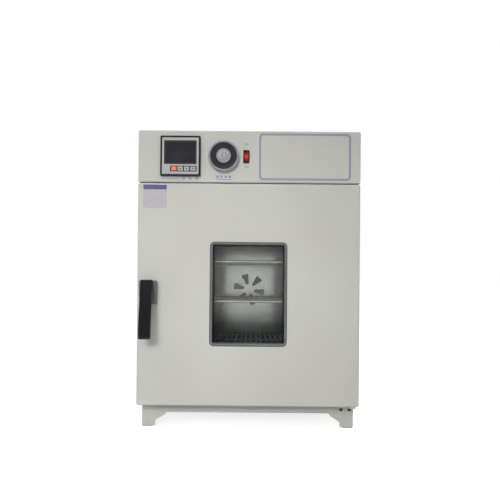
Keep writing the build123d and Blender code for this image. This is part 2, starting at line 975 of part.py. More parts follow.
# Cable gland in the rear panel
with BuildPart() as cable_gland:
    with BuildSketch(front_plane(cabinet_rear_y)):
        with Locations((gland_x, gland_height)):
            RegularPolygon(gland_hex_radius, 6)
    extrude(amount=-gland_hex)
    rod((gland_x, cabinet_rear_y, gland_height), (0, 1, 0), gland_reach, gland_dome_radius)
    fillet(cable_gland.edges().sort_by(Axis.Y)[-1], radius=full_edge)
    rod(
        (gland_x, rear_inside_y - gland_nut, gland_height),
        (0, 1, 0),
        gland_nut + sheet,
        gland_radius - fit,
    )
    rod(
        (gland_x, rear_inside_y - gland_nut, gland_height),
        (0, 1, 0),
        gland_reach + gland_nut + sheet,
        cable_bore,
        Mode.SUBTRACT,
    )
keep(cable_gland, "cable_gland")

# Electrics deck over the chamber insulation
with BuildPart() as electrics_deck:
    block((-inside_half, cabinet_front_y, deck_z), (inside_half, rear_inside_y, deck_top_z))
    rod((0, vent_y, deck_z), (0, 0, 1), sheet, vent_radius + fit, Mode.SUBTRACT)
keep(electrics_deck, "electrics_deck")

# Relay on its finned heat sink, and the terminal block beside it
relay_foot_z = deck_top_z + fin_height + sink_base
with BuildPart() as power_electrics:
    block(
        (relay_x - sink_width / 2, relay_y - sink_depth / 2, deck_top_z + fin_height),
        (relay_x + sink_width / 2, relay_y + sink_depth / 2, relay_foot_z),
    )
    with BuildSketch(Plane.XY.offset(deck_top_z)):
        with Locations((relay_x, relay_y)):
            with GridLocations((sink_width - fin_thickness) / (fins - 1), 1, fins, 1):
                Rectangle(fin_thickness, sink_depth)
    extrude(amount=fin_height)
    block(
        (relay_x - relay_length / 2, relay_y - relay_width / 2, relay_foot_z),
        (relay_x + relay_length / 2, relay_y + relay_width / 2, relay_foot_z + relay_height),
    )
    block(
        (-relay_x - terminal_length / 2, relay_y, deck_top_z),
        (-relay_x + terminal_length / 2, relay_y + terminal_width, deck_top_z + terminal_height),
    )
keep(power_electrics, "power_electrics")

# Control fascia: a folded pan with the cut-outs for the controls
case_cut = controller_case_side + 2 * fit
fascia_pan = sheet_pan(deck_z, top_z, door_thickness + door_to_cabinet, fascia_edge_radius)
with BuildPart() as control_fascia:
    add(fascia_pan)
    with BuildSketch(front_plane(door_face_y)):
        with Locations((controller_x, control_row_height)):
            Rectangle(case_cut, case_cut)
        with Locations((knob_x, control_row_height)):
            Circle(thermostat_bush_radius + fit)
        with Locations((switch_x, control_row_height)):
            Rectangle(switch_body_width + 2 * fit, switch_body_height + 2 * fit)
    extrude(amount=-sheet, mode=Mode.SUBTRACT)
    rod((hinge_x, hinge_y, deck_z), (0, 0, 1), sheet, pin_radius + fit, Mode.SUBTRACT)
keep(control_fascia, "control_fascia")

# Temperature controller: front frame, display lens, case and four keys
frame_front_y = door_face_y - controller_reach
key_xs = [controller_x + key_first_x + number * key_pitch for number in range(len(key_names))]
key_z = control_row_height - key_drop
display_z = control_row_height + display_lift
with BuildPart() as controller_bezel:
    rounded_block(
        frame_front_y,
        controller_reach,
        (controller_x, control_row_height),
        controller_side,
        controller_side,
        controller_corner,
    )
    fillet(controller_bezel.faces().sort_by(Axis.Y)[0].edges(), radius=small_edge)
    face_side = controller_side - 2 * controller_border
    rounded_block(
        frame_front_y,
        face_recess,
        (controller_x, control_row_height),
        face_side,
        face_side,
        medium_edge,
        Mode.SUBTRACT,
    )
    block(
        (
            controller_x - case_cut / 2,
            frame_front_y + face_recess + controller_front_wall,
            control_row_height - case_cut / 2,
        ),
        (controller_x + case_cut / 2, door_face_y, control_row_height + case_cut / 2),
        Mode.SUBTRACT,
    )
    lens_cut_y = frame_front_y + face_recess
    rounded_block(
        lens_cut_y,
        controller_front_wall,
        (controller_x, display_z),
        display_width + 2 * fit,
        display_height + 2 * fit,
        medium_edge,
        Mode.SUBTRACT,
    )
    for x in key_xs:
        rounded_block(
            lens_cut_y,
            controller_front_wall,
            (x, key_z),
            key_width + 2 * key_play,
            key_height + 2 * key_play,
            medium_edge,
            Mode.SUBTRACT,
        )
keep(controller_bezel, "controller_bezel")

with BuildPart() as controller_display:
    rounded_block(
        lens_cut_y + lens_recess,
        lens_thickness,
        (controller_x, display_z),
        display_width,
        display_height,
        medium_edge - fit,
    )
keep(controller_display, "controller_display")

case_half = controller_case_side / 2
with BuildPart() as controller_case:
    block(
        (controller_x - case_half, door_face_y - case_entry, control_row_height - case_half),
        (controller_x + case_half, controller_back_y, control_row_height + case_half),
    )
keep(controller_case, "controller_case")

for x, name in zip(key_xs, key_names):
    with BuildPart() as key:
        key_front = lens_cut_y - key_proud
        key_back = door_face_y - case_entry - key_travel - hidden_gap
        key_length = key_back - key_front
        rounded_block(key_front, key_length, (x, key_z), key_width, key_height, medium_edge - key_play)
        fillet(key.faces().sort_by(Axis.Y)[0].edges(), radius=fine_edge)
    keep(key, name)

# Safety thermostat: dial plate, knob with its shaft, and the body behind the fascia
with BuildPart() as dial_plate:
    plate_y = door_face_y - dial_plate_thickness
    rod(
        (knob_x, plate_y, control_row_height),
        (0, 1, 0),
        dial_plate_thickness,
        dial_plate_radius,
    )
    fillet(dial_plate.edges().group_by(Axis.Y)[0], radius=small_edge)
    rod(
        (knob_x, plate_y, control_row_height),
        (0, 1, 0),
        dial_plate_thickness,
        thermostat_bush_radius + fit,
        Mode.SUBTRACT,
    )
keep(dial_plate, "dial_plate")

knob_back_y = door_face_y - dial_plate_thickness - knob_gap
knob_front_y = knob_back_y - knob_reach
with BuildPart() as thermostat_knob:
    with BuildSketch(front_plane(knob_back_y)):
        with Locations((knob_x, control_row_height)):
            Circle(knob_radius)
    extrude(amount=knob_reach, taper=degrees(atan2(knob_radius - knob_top_radius, knob_reach)))
    fillet(thermostat_knob.edges().group_by(Axis.Y)[0], radius=medium_edge)
    with BuildSketch(front_plane(knob_front_y)):
        with Locations((knob_x, control_row_height)):
            Circle(knob_disc_radius + knob_groove_width)
            Circle(knob_disc_radius, mode=Mode.SUBTRACT)
    extrude(amount=-knob_groove_depth, mode=Mode.SUBTRACT)
    rod(
        (knob_x, knob_back_y, control_row_height),
        (0, 1, 0),
        knob_shaft_hold + dial_plate_thickness + knob_gap,
        knob_shaft_radius,
    )
keep(thermostat_knob, "thermostat_knob")

with BuildPart() as thermostat_body:
    block(
        (
            knob_x - thermostat_width / 2,
            fascia_back_y,
            control_row_height - thermostat_height / 2,
        ),
        (
            knob_x + thermostat_width / 2,
            fascia_back_y + thermostat_depth,
            control_row_height + thermostat_height / 2,
        ),
    )
    rod(
        (knob_x, plate_y, control_row_height),
        (0, 1, 0),
        fascia_back_y - plate_y,
        thermostat_bush_radius,
    )
    rod(
        (knob_x, plate_y, control_row_height),
        (0, 1, 0),
        knob_shaft_hold + dial_plate_thickness + end_gap,
        knob_shaft_radius + running_gap,
        Mode.SUBTRACT,
    )
keep(thermostat_body, "thermostat_body")

# Rocker switch
with BuildPart() as switch_housing:
    rounded_block(
        door_face_y - switch_bezel,
        switch_bezel,
        (switch_x, control_row_height),
        switch_width,
        switch_height,
        medium_edge,
    )
    fillet(switch_housing.faces().sort_by(Axis.Y)[0].edges(), radius=fine_edge)
    block(
        (
            switch_x - switch_body_width / 2,
            door_face_y,
            control_row_height - switch_body_height / 2,
        ),
        (
            switch_x + switch_body_width / 2,
            door_face_y + switch_body_depth,
            control_row_height + switch_body_height / 2,
        ),
    )
    block(
        (
            switch_x - switch_window_width / 2,
            door_face_y - switch_bezel,
            control_row_height - switch_window_height / 2,
        ),
        (
            switch_x + switch_window_width / 2,
            door_face_y - switch_bezel + switch_pocket,
            control_row_height + switch_window_height / 2,
        ),
        Mode.SUBTRACT,
    )
keep(switch_housing, "switch_housing")

tilt = radians(rocker_tilt)
rocker_plane = Plane(
    origin=(switch_x, door_face_y + rocker_pivot_depth, control_row_height),
    x_dir=(0, cos(tilt), sin(tilt)),
    z_dir=(1, 0, 0),
)
with BuildPart() as switch_rocker:
    with BuildSketch(rocker_plane):
        with BuildLine():
            Polyline(
                (-rocker_nose, rocker_half_height),
                (-rocker_waist, 0),
                (-rocker_nose, -rocker_half_height),
                (-rocker_shoulder, -rocker_half_height),
                (rocker_foot, -rocker_foot_half),
                (rocker_foot, rocker_foot_half),
                (-rocker_shoulder, rocker_half_height),
                close=True,
            )
        make_face()
    extrude(amount=rocker_width / 2, both=True)
    fillet(switch_rocker.edges().group_by(Axis.Y)[0], radius=fine_edge)
keep(switch_rocker, "switch_rocker")

# Vent tube from the chamber through the roof, with its turning cap
vent_top_z = top_z + vent_reach
with BuildPart() as vent_tube:
    rod(
        (0, vent_y, chamber_top_z),
        (0, 0, 1),
        vent_top_z - chamber_top_z,
        vent_radius,
    )
    rod((0, vent_y, top_z), (0, 0, 1), vent_flange, vent_flange_radius)
    flange_edges = vent_tube.edges().filter_by(GeomType.CIRCLE).group_by(SortBy.RADIUS)[-1]
    fillet(flange_edges, radius=small_edge)
    rod(
        (0, vent_y, chamber_top_z),
        (0, 0, 1),
        vent_top_z - chamber_top_z,
        vent_radius - vent_wall,
        Mode.SUBTRACT,
    )
keep(vent_tube, "vent_tube")

cap_under_z = vent_top_z + vent_cap_gap
with BuildPart() as vent_cap:
    rod(
        (0, vent_y, cap_under_z - vent_cap_drop),
        (0, 0, 1),
        vent_cap_drop + vent_cap_wall,
        vent_cap_radius,
    )
    fillet(vent_cap.edges().group_by(Axis.Z)[-1], radius=medium_edge)
    rod(
        (0, vent_y, cap_under_z - vent_cap_drop),
        (0, 0, 1),
        vent_cap_drop,
        vent_cap_radius - vent_cap_wall,
        Mode.SUBTRACT,
    )
    rod(
        (0, vent_y, cap_under_z),
        (0, 0, -1),
        vent_stub,
        vent_radius - vent_wall - running_gap,
    )
    with BuildSketch(Plane.XY.offset(cap_under_z + vent_cap_wall)):
        with Locations((0, vent_y)):
            with PolarLocations(vent_hole_circle, vent_holes):
                Circle(vent_hole_radius)
    extrude(amount=-vent_cap_wall - vent_stub, mode=Mode.SUBTRACT)
keep(vent_cap, "vent_cap")

# Hinge brackets with their pins
bracket_half = bracket_width / 2
with BuildPart() as lower_hinge_bracket:
    block(
        (bracket_x - bracket_half, base_front_y - hinge_plate, base_height - bracket_drop),
        (bracket_x + bracket_half, base_front_y, base_height),
    )
    block(
        (bracket_x - bracket_half, hinge_y, base_height - hinge_plate),
        (bracket_x + bracket_half, base_front_y, base_height),
    )
    rod(
        (hinge_x, hinge_y, base_height - hinge_plate),
        (0, 0, 1),
        hinge_plate,
        bracket_tip_radius,
    )
    rod((hinge_x, hinge_y, base_height), (0, 0, 1), door_to_base + pin_reach, pin_radius)
    rod((hinge_x, hinge_y, base_height), (0, 0, 1), door_to_base - fit, pin_radius + bush_wall)
    for x, y, z in hinge_screws:
        rod((x, y, z), (0, 1, 0), hinge_plate, screw_radius, Mode.SUBTRACT)
keep(lower_hinge_bracket, "lower_hinge_bracket")

with BuildPart() as upper_hinge_bracket:
    block(
        (bracket_x - bracket_half, hinge_y, deck_top_z),
        (bracket_x + bracket_half, cabinet_front_y + bracket_width, deck_top_z + hinge_plate),
    )
    rod((hinge_x, hinge_y, deck_top_z), (0, 0, 1), hinge_plate, bracket_tip_radius)
    rod(
        (hinge_x, hinge_y, deck_top_z),
        (0, 0, -1),
        sheet + door_to_head + pin_reach,
        pin_radius,
    )
keep(upper_hinge_bracket, "upper_hinge_bracket")

# Latch keeper on the front frame
with BuildPart() as latch_keeper:
    rounded_block(
        cabinet_front_y - keeper_sheet,
        keeper_sheet,
        (handle_x, latch_rod_height),
        keeper_width,
        keeper_height,
        full_edge,
    )
    rod(
        (handle_x, cabinet_front_y - keeper_sheet, latch_rod_height),
        (0, 1, 0),
        keeper_sheet,
        keeper_hole_radius,
        Mode.SUBTRACT,
    )
keep(latch_keeper, "latch_keeper")

# Screws that show: hinge bracket, motor cover and rear panel
with BuildPart() as cabinet_screws:
    for place in hinge_screws:
        screw(place, (0, -1, 0), screw_length)
    for place in cover_screws:
        screw(place, (0, 1, 0), 2 * sheet + fit)
    for place in rear_screws:
        screw(place, (0, 1, 0), sheet + fit)
keep(cabinet_screws, "cabinet_screws")

# Door outer skin: a folded pan with the window and the holes for the latch rod and the bushes
bush_radius = pin_radius + bush_wall
door_pan = sheet_pan(door_bottom_z, door_top_z, door_thickness, door_edge_radius)
with BuildPart() as door_outer_skin:
    add(door_pan)
    rounded_block(
        door_face_y,
        sheet,
        (0, window_z),
        window_width,
        window_height,
        window_corner_radius,
        Mode.SUBTRACT,
    )
    rod(
        (handle_x, door_face_y, latch_rod_height),
        (0, 1, 0),
        sheet,
        latch_rod_radius + fit,
        Mode.SUBTRACT,
    )
    rod(
        (hinge_x, hinge_y, door_bottom_z),
        (0, 0, 1),
        door_height,
        bush_radius,
        Mode.SUBTRACT,
    )
keep(door_outer_skin, "door_outer_skin")

# Door inner skin: a pressed plate whose plug reaches into the chamber mouth
skin_half = half_width - sheet - fit
skin_low_z = door_bottom_z + sheet + fit
skin_high_z = door_top_z - sheet - fit
with BuildPart() as door_inner_skin:
    rounded_block(
        door_back_y - liner_sheet,
        liner_sheet,
        (0, door_middle_z),
        2 * skin_half,
        skin_high_z - skin_low_z,
        pan_corner_radius,
    )
    plug_z = (plug_low_z + plug_high_z) / 2
    plug_height = plug_high_z - plug_low_z
    rounded_block(
        door_back_y,
        plug_back_y - door_back_y,
        (0, plug_z),
        2 * plug_half,
        plug_height,
        window_corner_radius,
    )
    fillet(door_inner_skin.faces().sort_by(Axis.Y)[-1].edges(), radius=plug_edge_radius)
    rounded_block(
        door_back_y - liner_sheet,
        plug_back_y - door_back_y,
        (0, plug_z),
        2 * (plug_half - liner_sheet),
        plug_height - 2 * liner_sheet,
        window_corner_radius - liner_sheet,
        Mode.SUBTRACT,
    )
    rounded_block(
        plug_back_y - liner_sheet,
        liner_sheet,
        (0, window_z),
        sight_width,
        sight_height,
        window_corner_radius,
        Mode.SUBTRACT,
    )
    rod(
        (handle_x, door_back_y - liner_sheet, latch_rod_height),
        (0, 1, 0),
        liner_sheet,
        latch_rod_radius + fit,
        Mode.SUBTRACT,
    )
keep(door_inner_skin, "door_inner_skin")

# Window: tunnel between the skins, front gasket and two panes
tunnel_front_y = door_face_y + gasket_front + gasket_depth
with BuildPart() as window_tunnel:
    rounded_block(
        tunnel_front_y,
        inner_glass_y - tunnel_front_y,
        (0, window_z),
        window_width,
        window_height,
        window_corner_radius,
    )
    rounded_block(
        tunnel_front_y,
        inner_glass_y - tunnel_front_y,
        (0, window_z),
        window_width - 2 * liner_sheet,
        window_height - 2 * liner_sheet,
        window_corner_radius - liner_sheet,
        Mode.SUBTRACT,
    )
keep(window_tunnel, "window_tunnel")

with BuildPart() as window_gasket:
    rounded_block(
        door_face_y + gasket_front,
        gasket_depth,
        (0, window_z),
        window_width - 2 * fit,
        window_height - 2 * fit,
        window_corner_radius - fit,
    )
    rounded_block(
        door_face_y + gasket_front,
        gasket_depth,
        (0, window_z),
        sight_width,
        sight_height,
        window_corner_radius / 2,
        Mode.SUBTRACT,
    )
    fillet(window_gasket.faces().sort_by(Axis.Y)[0].outer_wire().edges(), radius=medium_edge)
    fillet(window_gasket.faces().sort_by(Axis.Y)[0].inner_wires()[0].edges(), radius=soft_edge)
    block(
        (-pane_width / 2, door_face_y + glass_recess, window_z - pane_height / 2),
        (pane_width / 2, door_face_y + glass_recess + glass_thickness, window_z + pane_height / 2),
        Mode.SUBTRACT,
    )
keep(window_gasket, "window_gasket")

for name, pane_y in (
    ("outer_glass", door_face_y + glass_recess),
    ("inner_glass", inner_glass_y),
):
    with BuildPart() as pane:
        block(
            (-pane_width / 2, pane_y, window_z - pane_height / 2),
            (pane_width / 2, pane_y + glass_thickness, window_z + pane_height / 2),
        )
    keep(pane, name)

# Door insulation between the skins
with BuildPart() as door_insulation:
    wool_half = half_width - sheet - hidden_gap
    block(
        (-wool_half, fascia_back_y + hidden_gap, door_bottom_z + sheet + hidden_gap),
        (wool_half, door_back_y - liner_sheet - hidden_gap, door_top_z - sheet - hidden_gap),
    )
    fillet(door_insulation.edges().filter_by(Axis.Z), radius=door_edge_radius)
    fillet(door_insulation.edges().filter_by(Axis.Y), radius=pan_corner_radius)
    rounded_block(
        door_face_y,
        door_thickness,
        (0, window_z),
        window_width + 2 * hidden_gap,
        window_height + 2 * hidden_gap,
        window_corner_radius,
        Mode.SUBTRACT,
    )
    rod(
        (handle_x, door_face_y, latch_rod_height),
        (0, 1, 0),
        door_thickness,
        latch_rod_radius + wool_relief,
        Mode.SUBTRACT,
    )
    rod(
        (hinge_x, hinge_y, door_bottom_z),
        (0, 0, 1),
        door_height,
        bush_radius + hidden_gap,
        Mode.SUBTRACT,
    )
keep(door_insulation, "door_insulation")

# Bushes in the door for the two hinge pins
with BuildPart() as door_bushes:
    for low in (door_bottom_z, door_top_z - bush_length):
        rod((hinge_x, hinge_y, low), (0, 0, 1), bush_length, bush_radius)
        rod(
            (hinge_x, hinge_y, low),
            (0, 0, 1),
            bush_length,
            pin_radius + running_gap,
            Mode.SUBTRACT,
        )
keep(door_bushes, "door_bushes")

# Handle base: two cheeks round the lever's eye, with a bore for the latch rod
pivot_y = door_face_y - handle_pivot_reach
nose_y = pivot_y - handle_nose_radius
base_top_z = handle_pivot_height + handle_nose_radius
with BuildPart() as handle_base:
    with BuildSketch(side_plane(handle_x)):
        with BuildLine():
            Polyline(
                (pivot_y, base_top_z),
                (door_face_y, base_top_z),
                (door_face_y, handle_base_bottom),
                (pivot_y, handle_base_bottom),
                (nose_y, handle_pivot_height),
            )
            RadiusArc((nose_y, handle_pivot_height), (pivot_y, base_top_z), handle_nose_radius)
        make_face()
    extrude(amount=handle_base_width / 2, both=True)
    fillet(handle_base.faces().sort_by(Axis.X)[0].edges().group_by(Axis.Y)[:-1], radius=soft_edge)
    fillet(handle_base.faces().sort_by(Axis.X)[-1].edges().group_by(Axis.Y)[:-1], radius=soft_edge)
    block(
        (handle_x - handle_slot / 2, nose_y - end_gap, handle_base_bottom - end_gap),
        (handle_x + handle_slot / 2, door_face_y - handle_back_wall, base_top_z + end_gap),
        Mode.SUBTRACT,
    )
    rod(
        (handle_x - handle_base_width / 2, pivot_y, handle_pivot_height),
        (1, 0, 0),
        handle_base_width,
        handle_pin_radius,
        Mode.SUBTRACT,
    )
    rod(
        (handle_x, door_face_y - handle_back_wall, latch_rod_height),
        (0, 1, 0),
        handle_back_wall,
        latch_rod_radius + running_gap,
        Mode.SUBTRACT,
    )
keep(handle_base, "handle_base")

with BuildPart() as handle_pivot_pin:
    rod(
        (handle_x - handle_base_width / 2 + end_gap, pivot_y, handle_pivot_height),
        (1, 0, 0),
        handle_base_width - 2 * end_gap,
        handle_pin_radius,
    )
keep(handle_pivot_pin, "handle_pivot_pin")

# Handle lever: a curved grip whose lower end stands away from the door, and an eye on the pin
grip_top_front = door_face_y - grip_top_reach
grip_low_front = door_face_y - handle_reach
grip_back = nose_y - end_gap
grip_tip_z = lever_bottom + grip_tip_rise
grip_middle_z = (lever_top + lever_bottom) / 2
tip_low = (grip_low_front + grip_tip_slope, lever_bottom)
tip_back = (grip_low_front + grip_tip_thickness, lever_bottom + grip_tip_lift)
with BuildPart() as handle_lever:
    with BuildSketch(side_plane(handle_x)):
        with BuildLine():
            ThreePointArc(
                (grip_top_front, lever_top),
                (door_face_y - grip_middle_reach, grip_middle_z + grip_middle_rise),
                (grip_low_front, grip_tip_z),
            )
            Line((grip_low_front, grip_tip_z), tip_low)
            Line(tip_low, tip_back)
            ThreePointArc(
                tip_back,
                (door_face_y - grip_hollow_reach, grip_middle_z + grip_hollow_rise),
                (grip_back, handle_pivot_height),
            )
            Line((grip_back, handle_pivot_height), (grip_back, lever_top))
            Line((grip_back, lever_top), (grip_top_front, lever_top))
        make_face()
    extrude(amount=lever_width / 2, both=True)
    fillet(handle_lever.faces().sort_by(Axis.X)[0].edges(), radius=full_edge)
    fillet(handle_lever.faces().sort_by(Axis.X)[-1].edges(), radius=full_edge)
    with BuildSketch(side_plane(handle_x)):
        with Locations((pivot_y, handle_pivot_height)):
            Circle(lever_eye_radius)
        with BuildLine():
            Polyline(
                (pivot_y, handle_pivot_height + lever_eye_radius),
                (grip_back - lever_tail, handle_pivot_height + lever_eye_radius),
                (grip_back - lever_tail, handle_pivot_height - lever_eye_radius - lever_tail_drop),
                (pivot_y, handle_pivot_height - lever_eye_radius),
                close=True,
            )
        make_face()
    extrude(amount=handle_slot / 2 - hidden_gap, both=True)
    rod(
        (handle_x - lever_width / 2, pivot_y, handle_pivot_height),
        (1, 0, 0),
        lever_width,
        handle_pin_radius + running_gap,
        Mode.SUBTRACT,
    )
keep(handle_lever, "handle_lever")

# Latch rod through the door into the keeper
with BuildPart() as latch_rod:
    rod_front_y = door_face_y - latch_rod_front
    rod(
        (handle_x, rod_front_y, latch_rod_height),
        (0, 1, 0),
        cabinet_front_y + latch_nose - rod_front_y,
        latch_rod_radius,
    )
    fillet(latch_rod.edges().sort_by(Axis.Y)[-1], radius=latch_rod_radius / 2)
keep(latch_rod, "latch_rod")
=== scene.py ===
"""Looks of the bench-top drying oven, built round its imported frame. All lengths are in metres.

X runs to the right as one faces the door, Y runs from the door to the rear and Z runs up.
"""

from math import radians

import bmesh
import bpy
import numpy as np
from mathutils import Matrix, Vector


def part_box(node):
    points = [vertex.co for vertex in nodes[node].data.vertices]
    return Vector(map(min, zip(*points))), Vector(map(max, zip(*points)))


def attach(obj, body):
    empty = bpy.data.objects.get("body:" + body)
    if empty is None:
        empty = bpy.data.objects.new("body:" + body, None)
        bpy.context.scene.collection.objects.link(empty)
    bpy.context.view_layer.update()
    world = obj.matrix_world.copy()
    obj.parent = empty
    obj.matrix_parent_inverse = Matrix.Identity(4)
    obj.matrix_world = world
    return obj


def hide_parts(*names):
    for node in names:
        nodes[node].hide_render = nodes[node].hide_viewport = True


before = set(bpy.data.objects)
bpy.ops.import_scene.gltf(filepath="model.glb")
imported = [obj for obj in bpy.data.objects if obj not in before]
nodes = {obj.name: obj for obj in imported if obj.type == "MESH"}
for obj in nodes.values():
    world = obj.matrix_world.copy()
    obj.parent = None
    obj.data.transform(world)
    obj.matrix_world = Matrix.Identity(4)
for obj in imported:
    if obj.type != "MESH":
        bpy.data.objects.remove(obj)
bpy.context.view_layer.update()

millimetre = 0.001

# How far printed ink and stuck film stand out from the surface under them, the share of a plate's
# thickness that the chamfer round its front takes, and how near two points are when they are one
ink_proud = 0.0001
film_proud = 0.00015
chamfer_share = 0.3
weld_distance = 1e-6

# Places read from the frame
door_low, door_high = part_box("door_outer_skin")
bezel_low, bezel_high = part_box("controller_bezel")
display_low, display_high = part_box("controller_display")
knob_low, knob_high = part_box("thermostat_knob")
switch_low, switch_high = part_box("switch_housing")
gasket_low, gasket_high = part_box("window_gasket")
front_y = door_low.y
control_z = (bezel_low.z + bezel_high.z) / 2
controller_x = (bezel_low.x + bezel_high.x) / 2
knob_x = (knob_low.x + knob_high.x) / 2
switch_x = (switch_low.x + switch_high.x) / 2
key_names = ("key_set", "key_shift", "key_down", "key_up")


def linear(colour):
    """Turns an sRGB hex colour into the linear red, green, blue and alpha that a shader takes."""
    parts = np.array([int(colour[k:k + 2], 16) for k in (1, 3, 5)]) / 255
    parts = np.where(parts <= 0.04045, parts / 12.92, ((parts + 0.055) / 1.055) ** 2.4)
    return (*parts.tolist(), 1.0)


def add(tree, kind, inputs=None, **settings):
    """Adds a node, sets its properties and gives each input a value or the output to feed it."""
    node = tree.nodes.new(kind)
    for name, value in settings.items():
        setattr(node, name, value)
    for name, value in (inputs or {}).items():
        if isinstance(value, bpy.types.NodeSocket):
            tree.links.new(value, node.inputs[name])
        else:
            node.inputs[name].default_value = value
    return node


class Finish:
    """A material in the making: its node tree, its Object coordinates and its Principled shader."""

    def __init__(self, name, **inputs):
        self.material = bpy.data.materials.new(name)
        self.material.use_nodes = True
        self.tree = self.material.node_tree
        self.tree.nodes.clear()
        self.place = add(self.tree, "ShaderNodeTexCoord").outputs["Object"]
        inputs = {key.replace("_", " "): value for key, value in inputs.items()}
        self.surface = add(self.tree, "ShaderNodeBsdfPrincipled", inputs)
        add(self.tree, "ShaderNodeOutputMaterial", {"Surface": self.surface.outputs["BSDF"]})

    def feed(self, name, output):
        """Feeds one input of the shader from a node."""
        self.tree.links.new(output, self.surface.inputs[name])

    def noise(self, size, detail=2.0, stretch=(1, 1, 1)):
        """Noise with a grain of that size, in metres, and longer along an axis of small stretch."""
        scaled = add(self.tree, "ShaderNodeMapping", {"Vector": self.place, "Scale": stretch})
        wave = {"Vector": scaled.outputs["Vector"], "Scale": 1 / size, "Detail": detail}
        return add(self.tree, "ShaderNodeTexNoise", wave).outputs["Fac"]

    def tones(self, factor, first, second, low=0.35, high=0.65):
        """Colours the surface between two tones as a factor runs from low to high."""
        spread = add(self.tree, "ShaderNodeMapRange", {
            "Value": factor, "From Min": low, "From Max": high})
        mixed = add(self.tree, "ShaderNodeMix", data_type="RGBA")
        self.tree.links.new(spread.outputs["Result"], mixed.inputs["Factor"])
        mixed.inputs[6].default_value = linear(first)
        mixed.inputs[7].default_value = linear(second)
        self.feed("Base Color", mixed.outputs[2])

    def sheen_between(self, factor, smooth, rough):
        """Lets the roughness run between two values with a factor."""
        spread = add(self.tree, "ShaderNodeMapRange", {
            "Value": factor, "From Min": 0.3, "From Max": 0.7, "To Min": smooth, "To Max": rough})
        self.feed("Roughness", spread.outputs["Result"])

    def relief(self, height, depth):
        """Raises the surface by a height of 0 to 1 times a depth, in metres."""
        bump = add(self.tree, "ShaderNodeBump", {"Height": height, "Distance": depth})
        self.feed("Normal", bump.outputs["Normal"])


# Powder coat: polyester powder baked on steel. It is satin, with a fine orange peel that breaks up
# the light, and its tone drifts a little over a hand's width.
powder = Finish("powder_coat", IOR=1.5, Specular_IOR_Level=0.25)
powder.tones(powder.noise(0.22, 1.0), "#C9C9C3", "#C5C5BE")
powder.sheen_between(powder.noise(0.03), 0.5, 0.6)
powder.relief(powder.noise(0.0014), 0.00003)

# Rolled stainless sheet: bright cold-rolled sheet, almost a mirror, clouded in patches as wide as a
# hand, with rolling lines along X that are drawn 1.5 mm apart so that they show.
stainless = Finish("rolled_stainless", Metallic=1.0)
stainless.tones(stainless.noise(0.06, 2.0), "#CBCBC8", "#BDBDBA")
stainless.sheen_between(stainless.noise(0.0015, 1.0, (0.01, 1.0, 1.0)), 0.1, 0.18)

# Heat-stained stainless: the same sheet near the heating elements, browned and dulled.
stained = Finish("heat_stained_stainless", Metallic=0.9)
stained.tones(stained.noise(0.05, 3.0), "#403D3A", "#343230")
stained.sheen_between(stained.noise(0.01, 2.0), 0.4, 0.55)

# Baked steel: the slotted floor plate over the heating elements, dulled to a mid grey by heat.
baked = Finish("baked_steel", IOR=1.5, Specular_IOR_Level=0.1)
baked.tones(baked.noise(0.03, 3.0), "#7E8A8A", "#6E7878")
baked.sheen_between(baked.noise(0.01, 2.0), 0.5, 0.65)

# Plated wire: steel wire with bright nickel, a mirror that is a little clouded by handling.
wire = Finish("nickel_wire", Metallic=1.0)
wire.tones(wire.noise(0.03), "#DAD9D4", "#C8C7C1")
wire.sheen_between(wire.noise(0.01), 0.1, 0.24)

# Mineral wool: matted glassy fibre in yellow binder, dull and uneven.
wool = Finish("mineral_wool", Roughness=0.95)
wool.tones(wool.noise(0.006, 6.0), "#CFC48E", "#A79A62")
wool.relief(wool.noise(0.0025, 6.0), 0.001)

# Heater sheath: stainless tube that has blued and browned in service.
sheath = Finish("heated_sheath", Metallic=1.0)
sheath.tones(sheath.noise(0.05, 3.0), "#7D6A55", "#565B66")
sheath.sheen_between(sheath.noise(0.006), 0.35, 0.55)

# Silicone rubber: matt, red-brown, with the faint skin of an extrusion.
silicone = Finish("silicone_seal", IOR=1.41)
silicone.tones(silicone.noise(0.02), "#A9452F", "#96391F")
silicone.sheen_between(silicone.noise(0.004), 0.5, 0.66)
silicone.relief(silicone.noise(0.0008), 0.00002)

# Window rubber: grey EPDM moulding, slightly bloomed.
rubber = Finish("window_rubber", IOR=1.5)
rubber.tones(rubber.noise(0.015, 3.0), "#737775", "#676B69")
rubber.sheen_between(rubber.noise(0.005), 0.42, 0.6)
rubber.relief(rubber.noise(0.0007), 0.00002)

# Foot rubber: black, scuffed where it meets the bench. The same black also serves as the painted
# shade in the groove round the window.
foot_rubber_and_groove_shade = Finish("foot_rubber_and_groove_shade", IOR=1.5)
foot_rubber_and_groove_shade.tones(foot_rubber_and_groove_shade.noise(0.008, 4.0), "#2E2E30", "#434345")
foot_rubber_and_groove_shade.sheen_between(foot_rubber_and_groove_shade.noise(0.004), 0.6, 0.8)
foot_rubber_and_groove_shade.relief(foot_rubber_and_groove_shade.noise(0.001), 0.00005)

# Zinc plate: bright zinc with a faint blue passivation and small dull patches.
zinc = Finish("zinc_plate", Metallic=1.0)
zinc.tones(zinc.noise(0.008, 3.0), "#B9BCC0", "#A3A8A6")
zinc.sheen_between(zinc.noise(0.004, 4.0), 0.25, 0.45)

# Black oxide: oiled blackened steel of the hinge screws.
oxide = Finish("black_oxide", IOR=1.5, Metallic=0.6)
oxide.tones(oxide.noise(0.003, 3.0), "#4E4E50", "#3E3E40")
oxide.sheen_between(oxide.noise(0.002), 0.24, 0.36)

# Motor enamel: dark brushed-on paint with a little gloss.
enamel = Finish("motor_enamel", IOR=1.5)
enamel.tones(enamel.noise(0.02, 3.0), "#3A4046", "#30363B")
enamel.sheen_between(enamel.noise(0.01), 0.3, 0.45)
enamel.relief(enamel.noise(0.002), 0.00005)

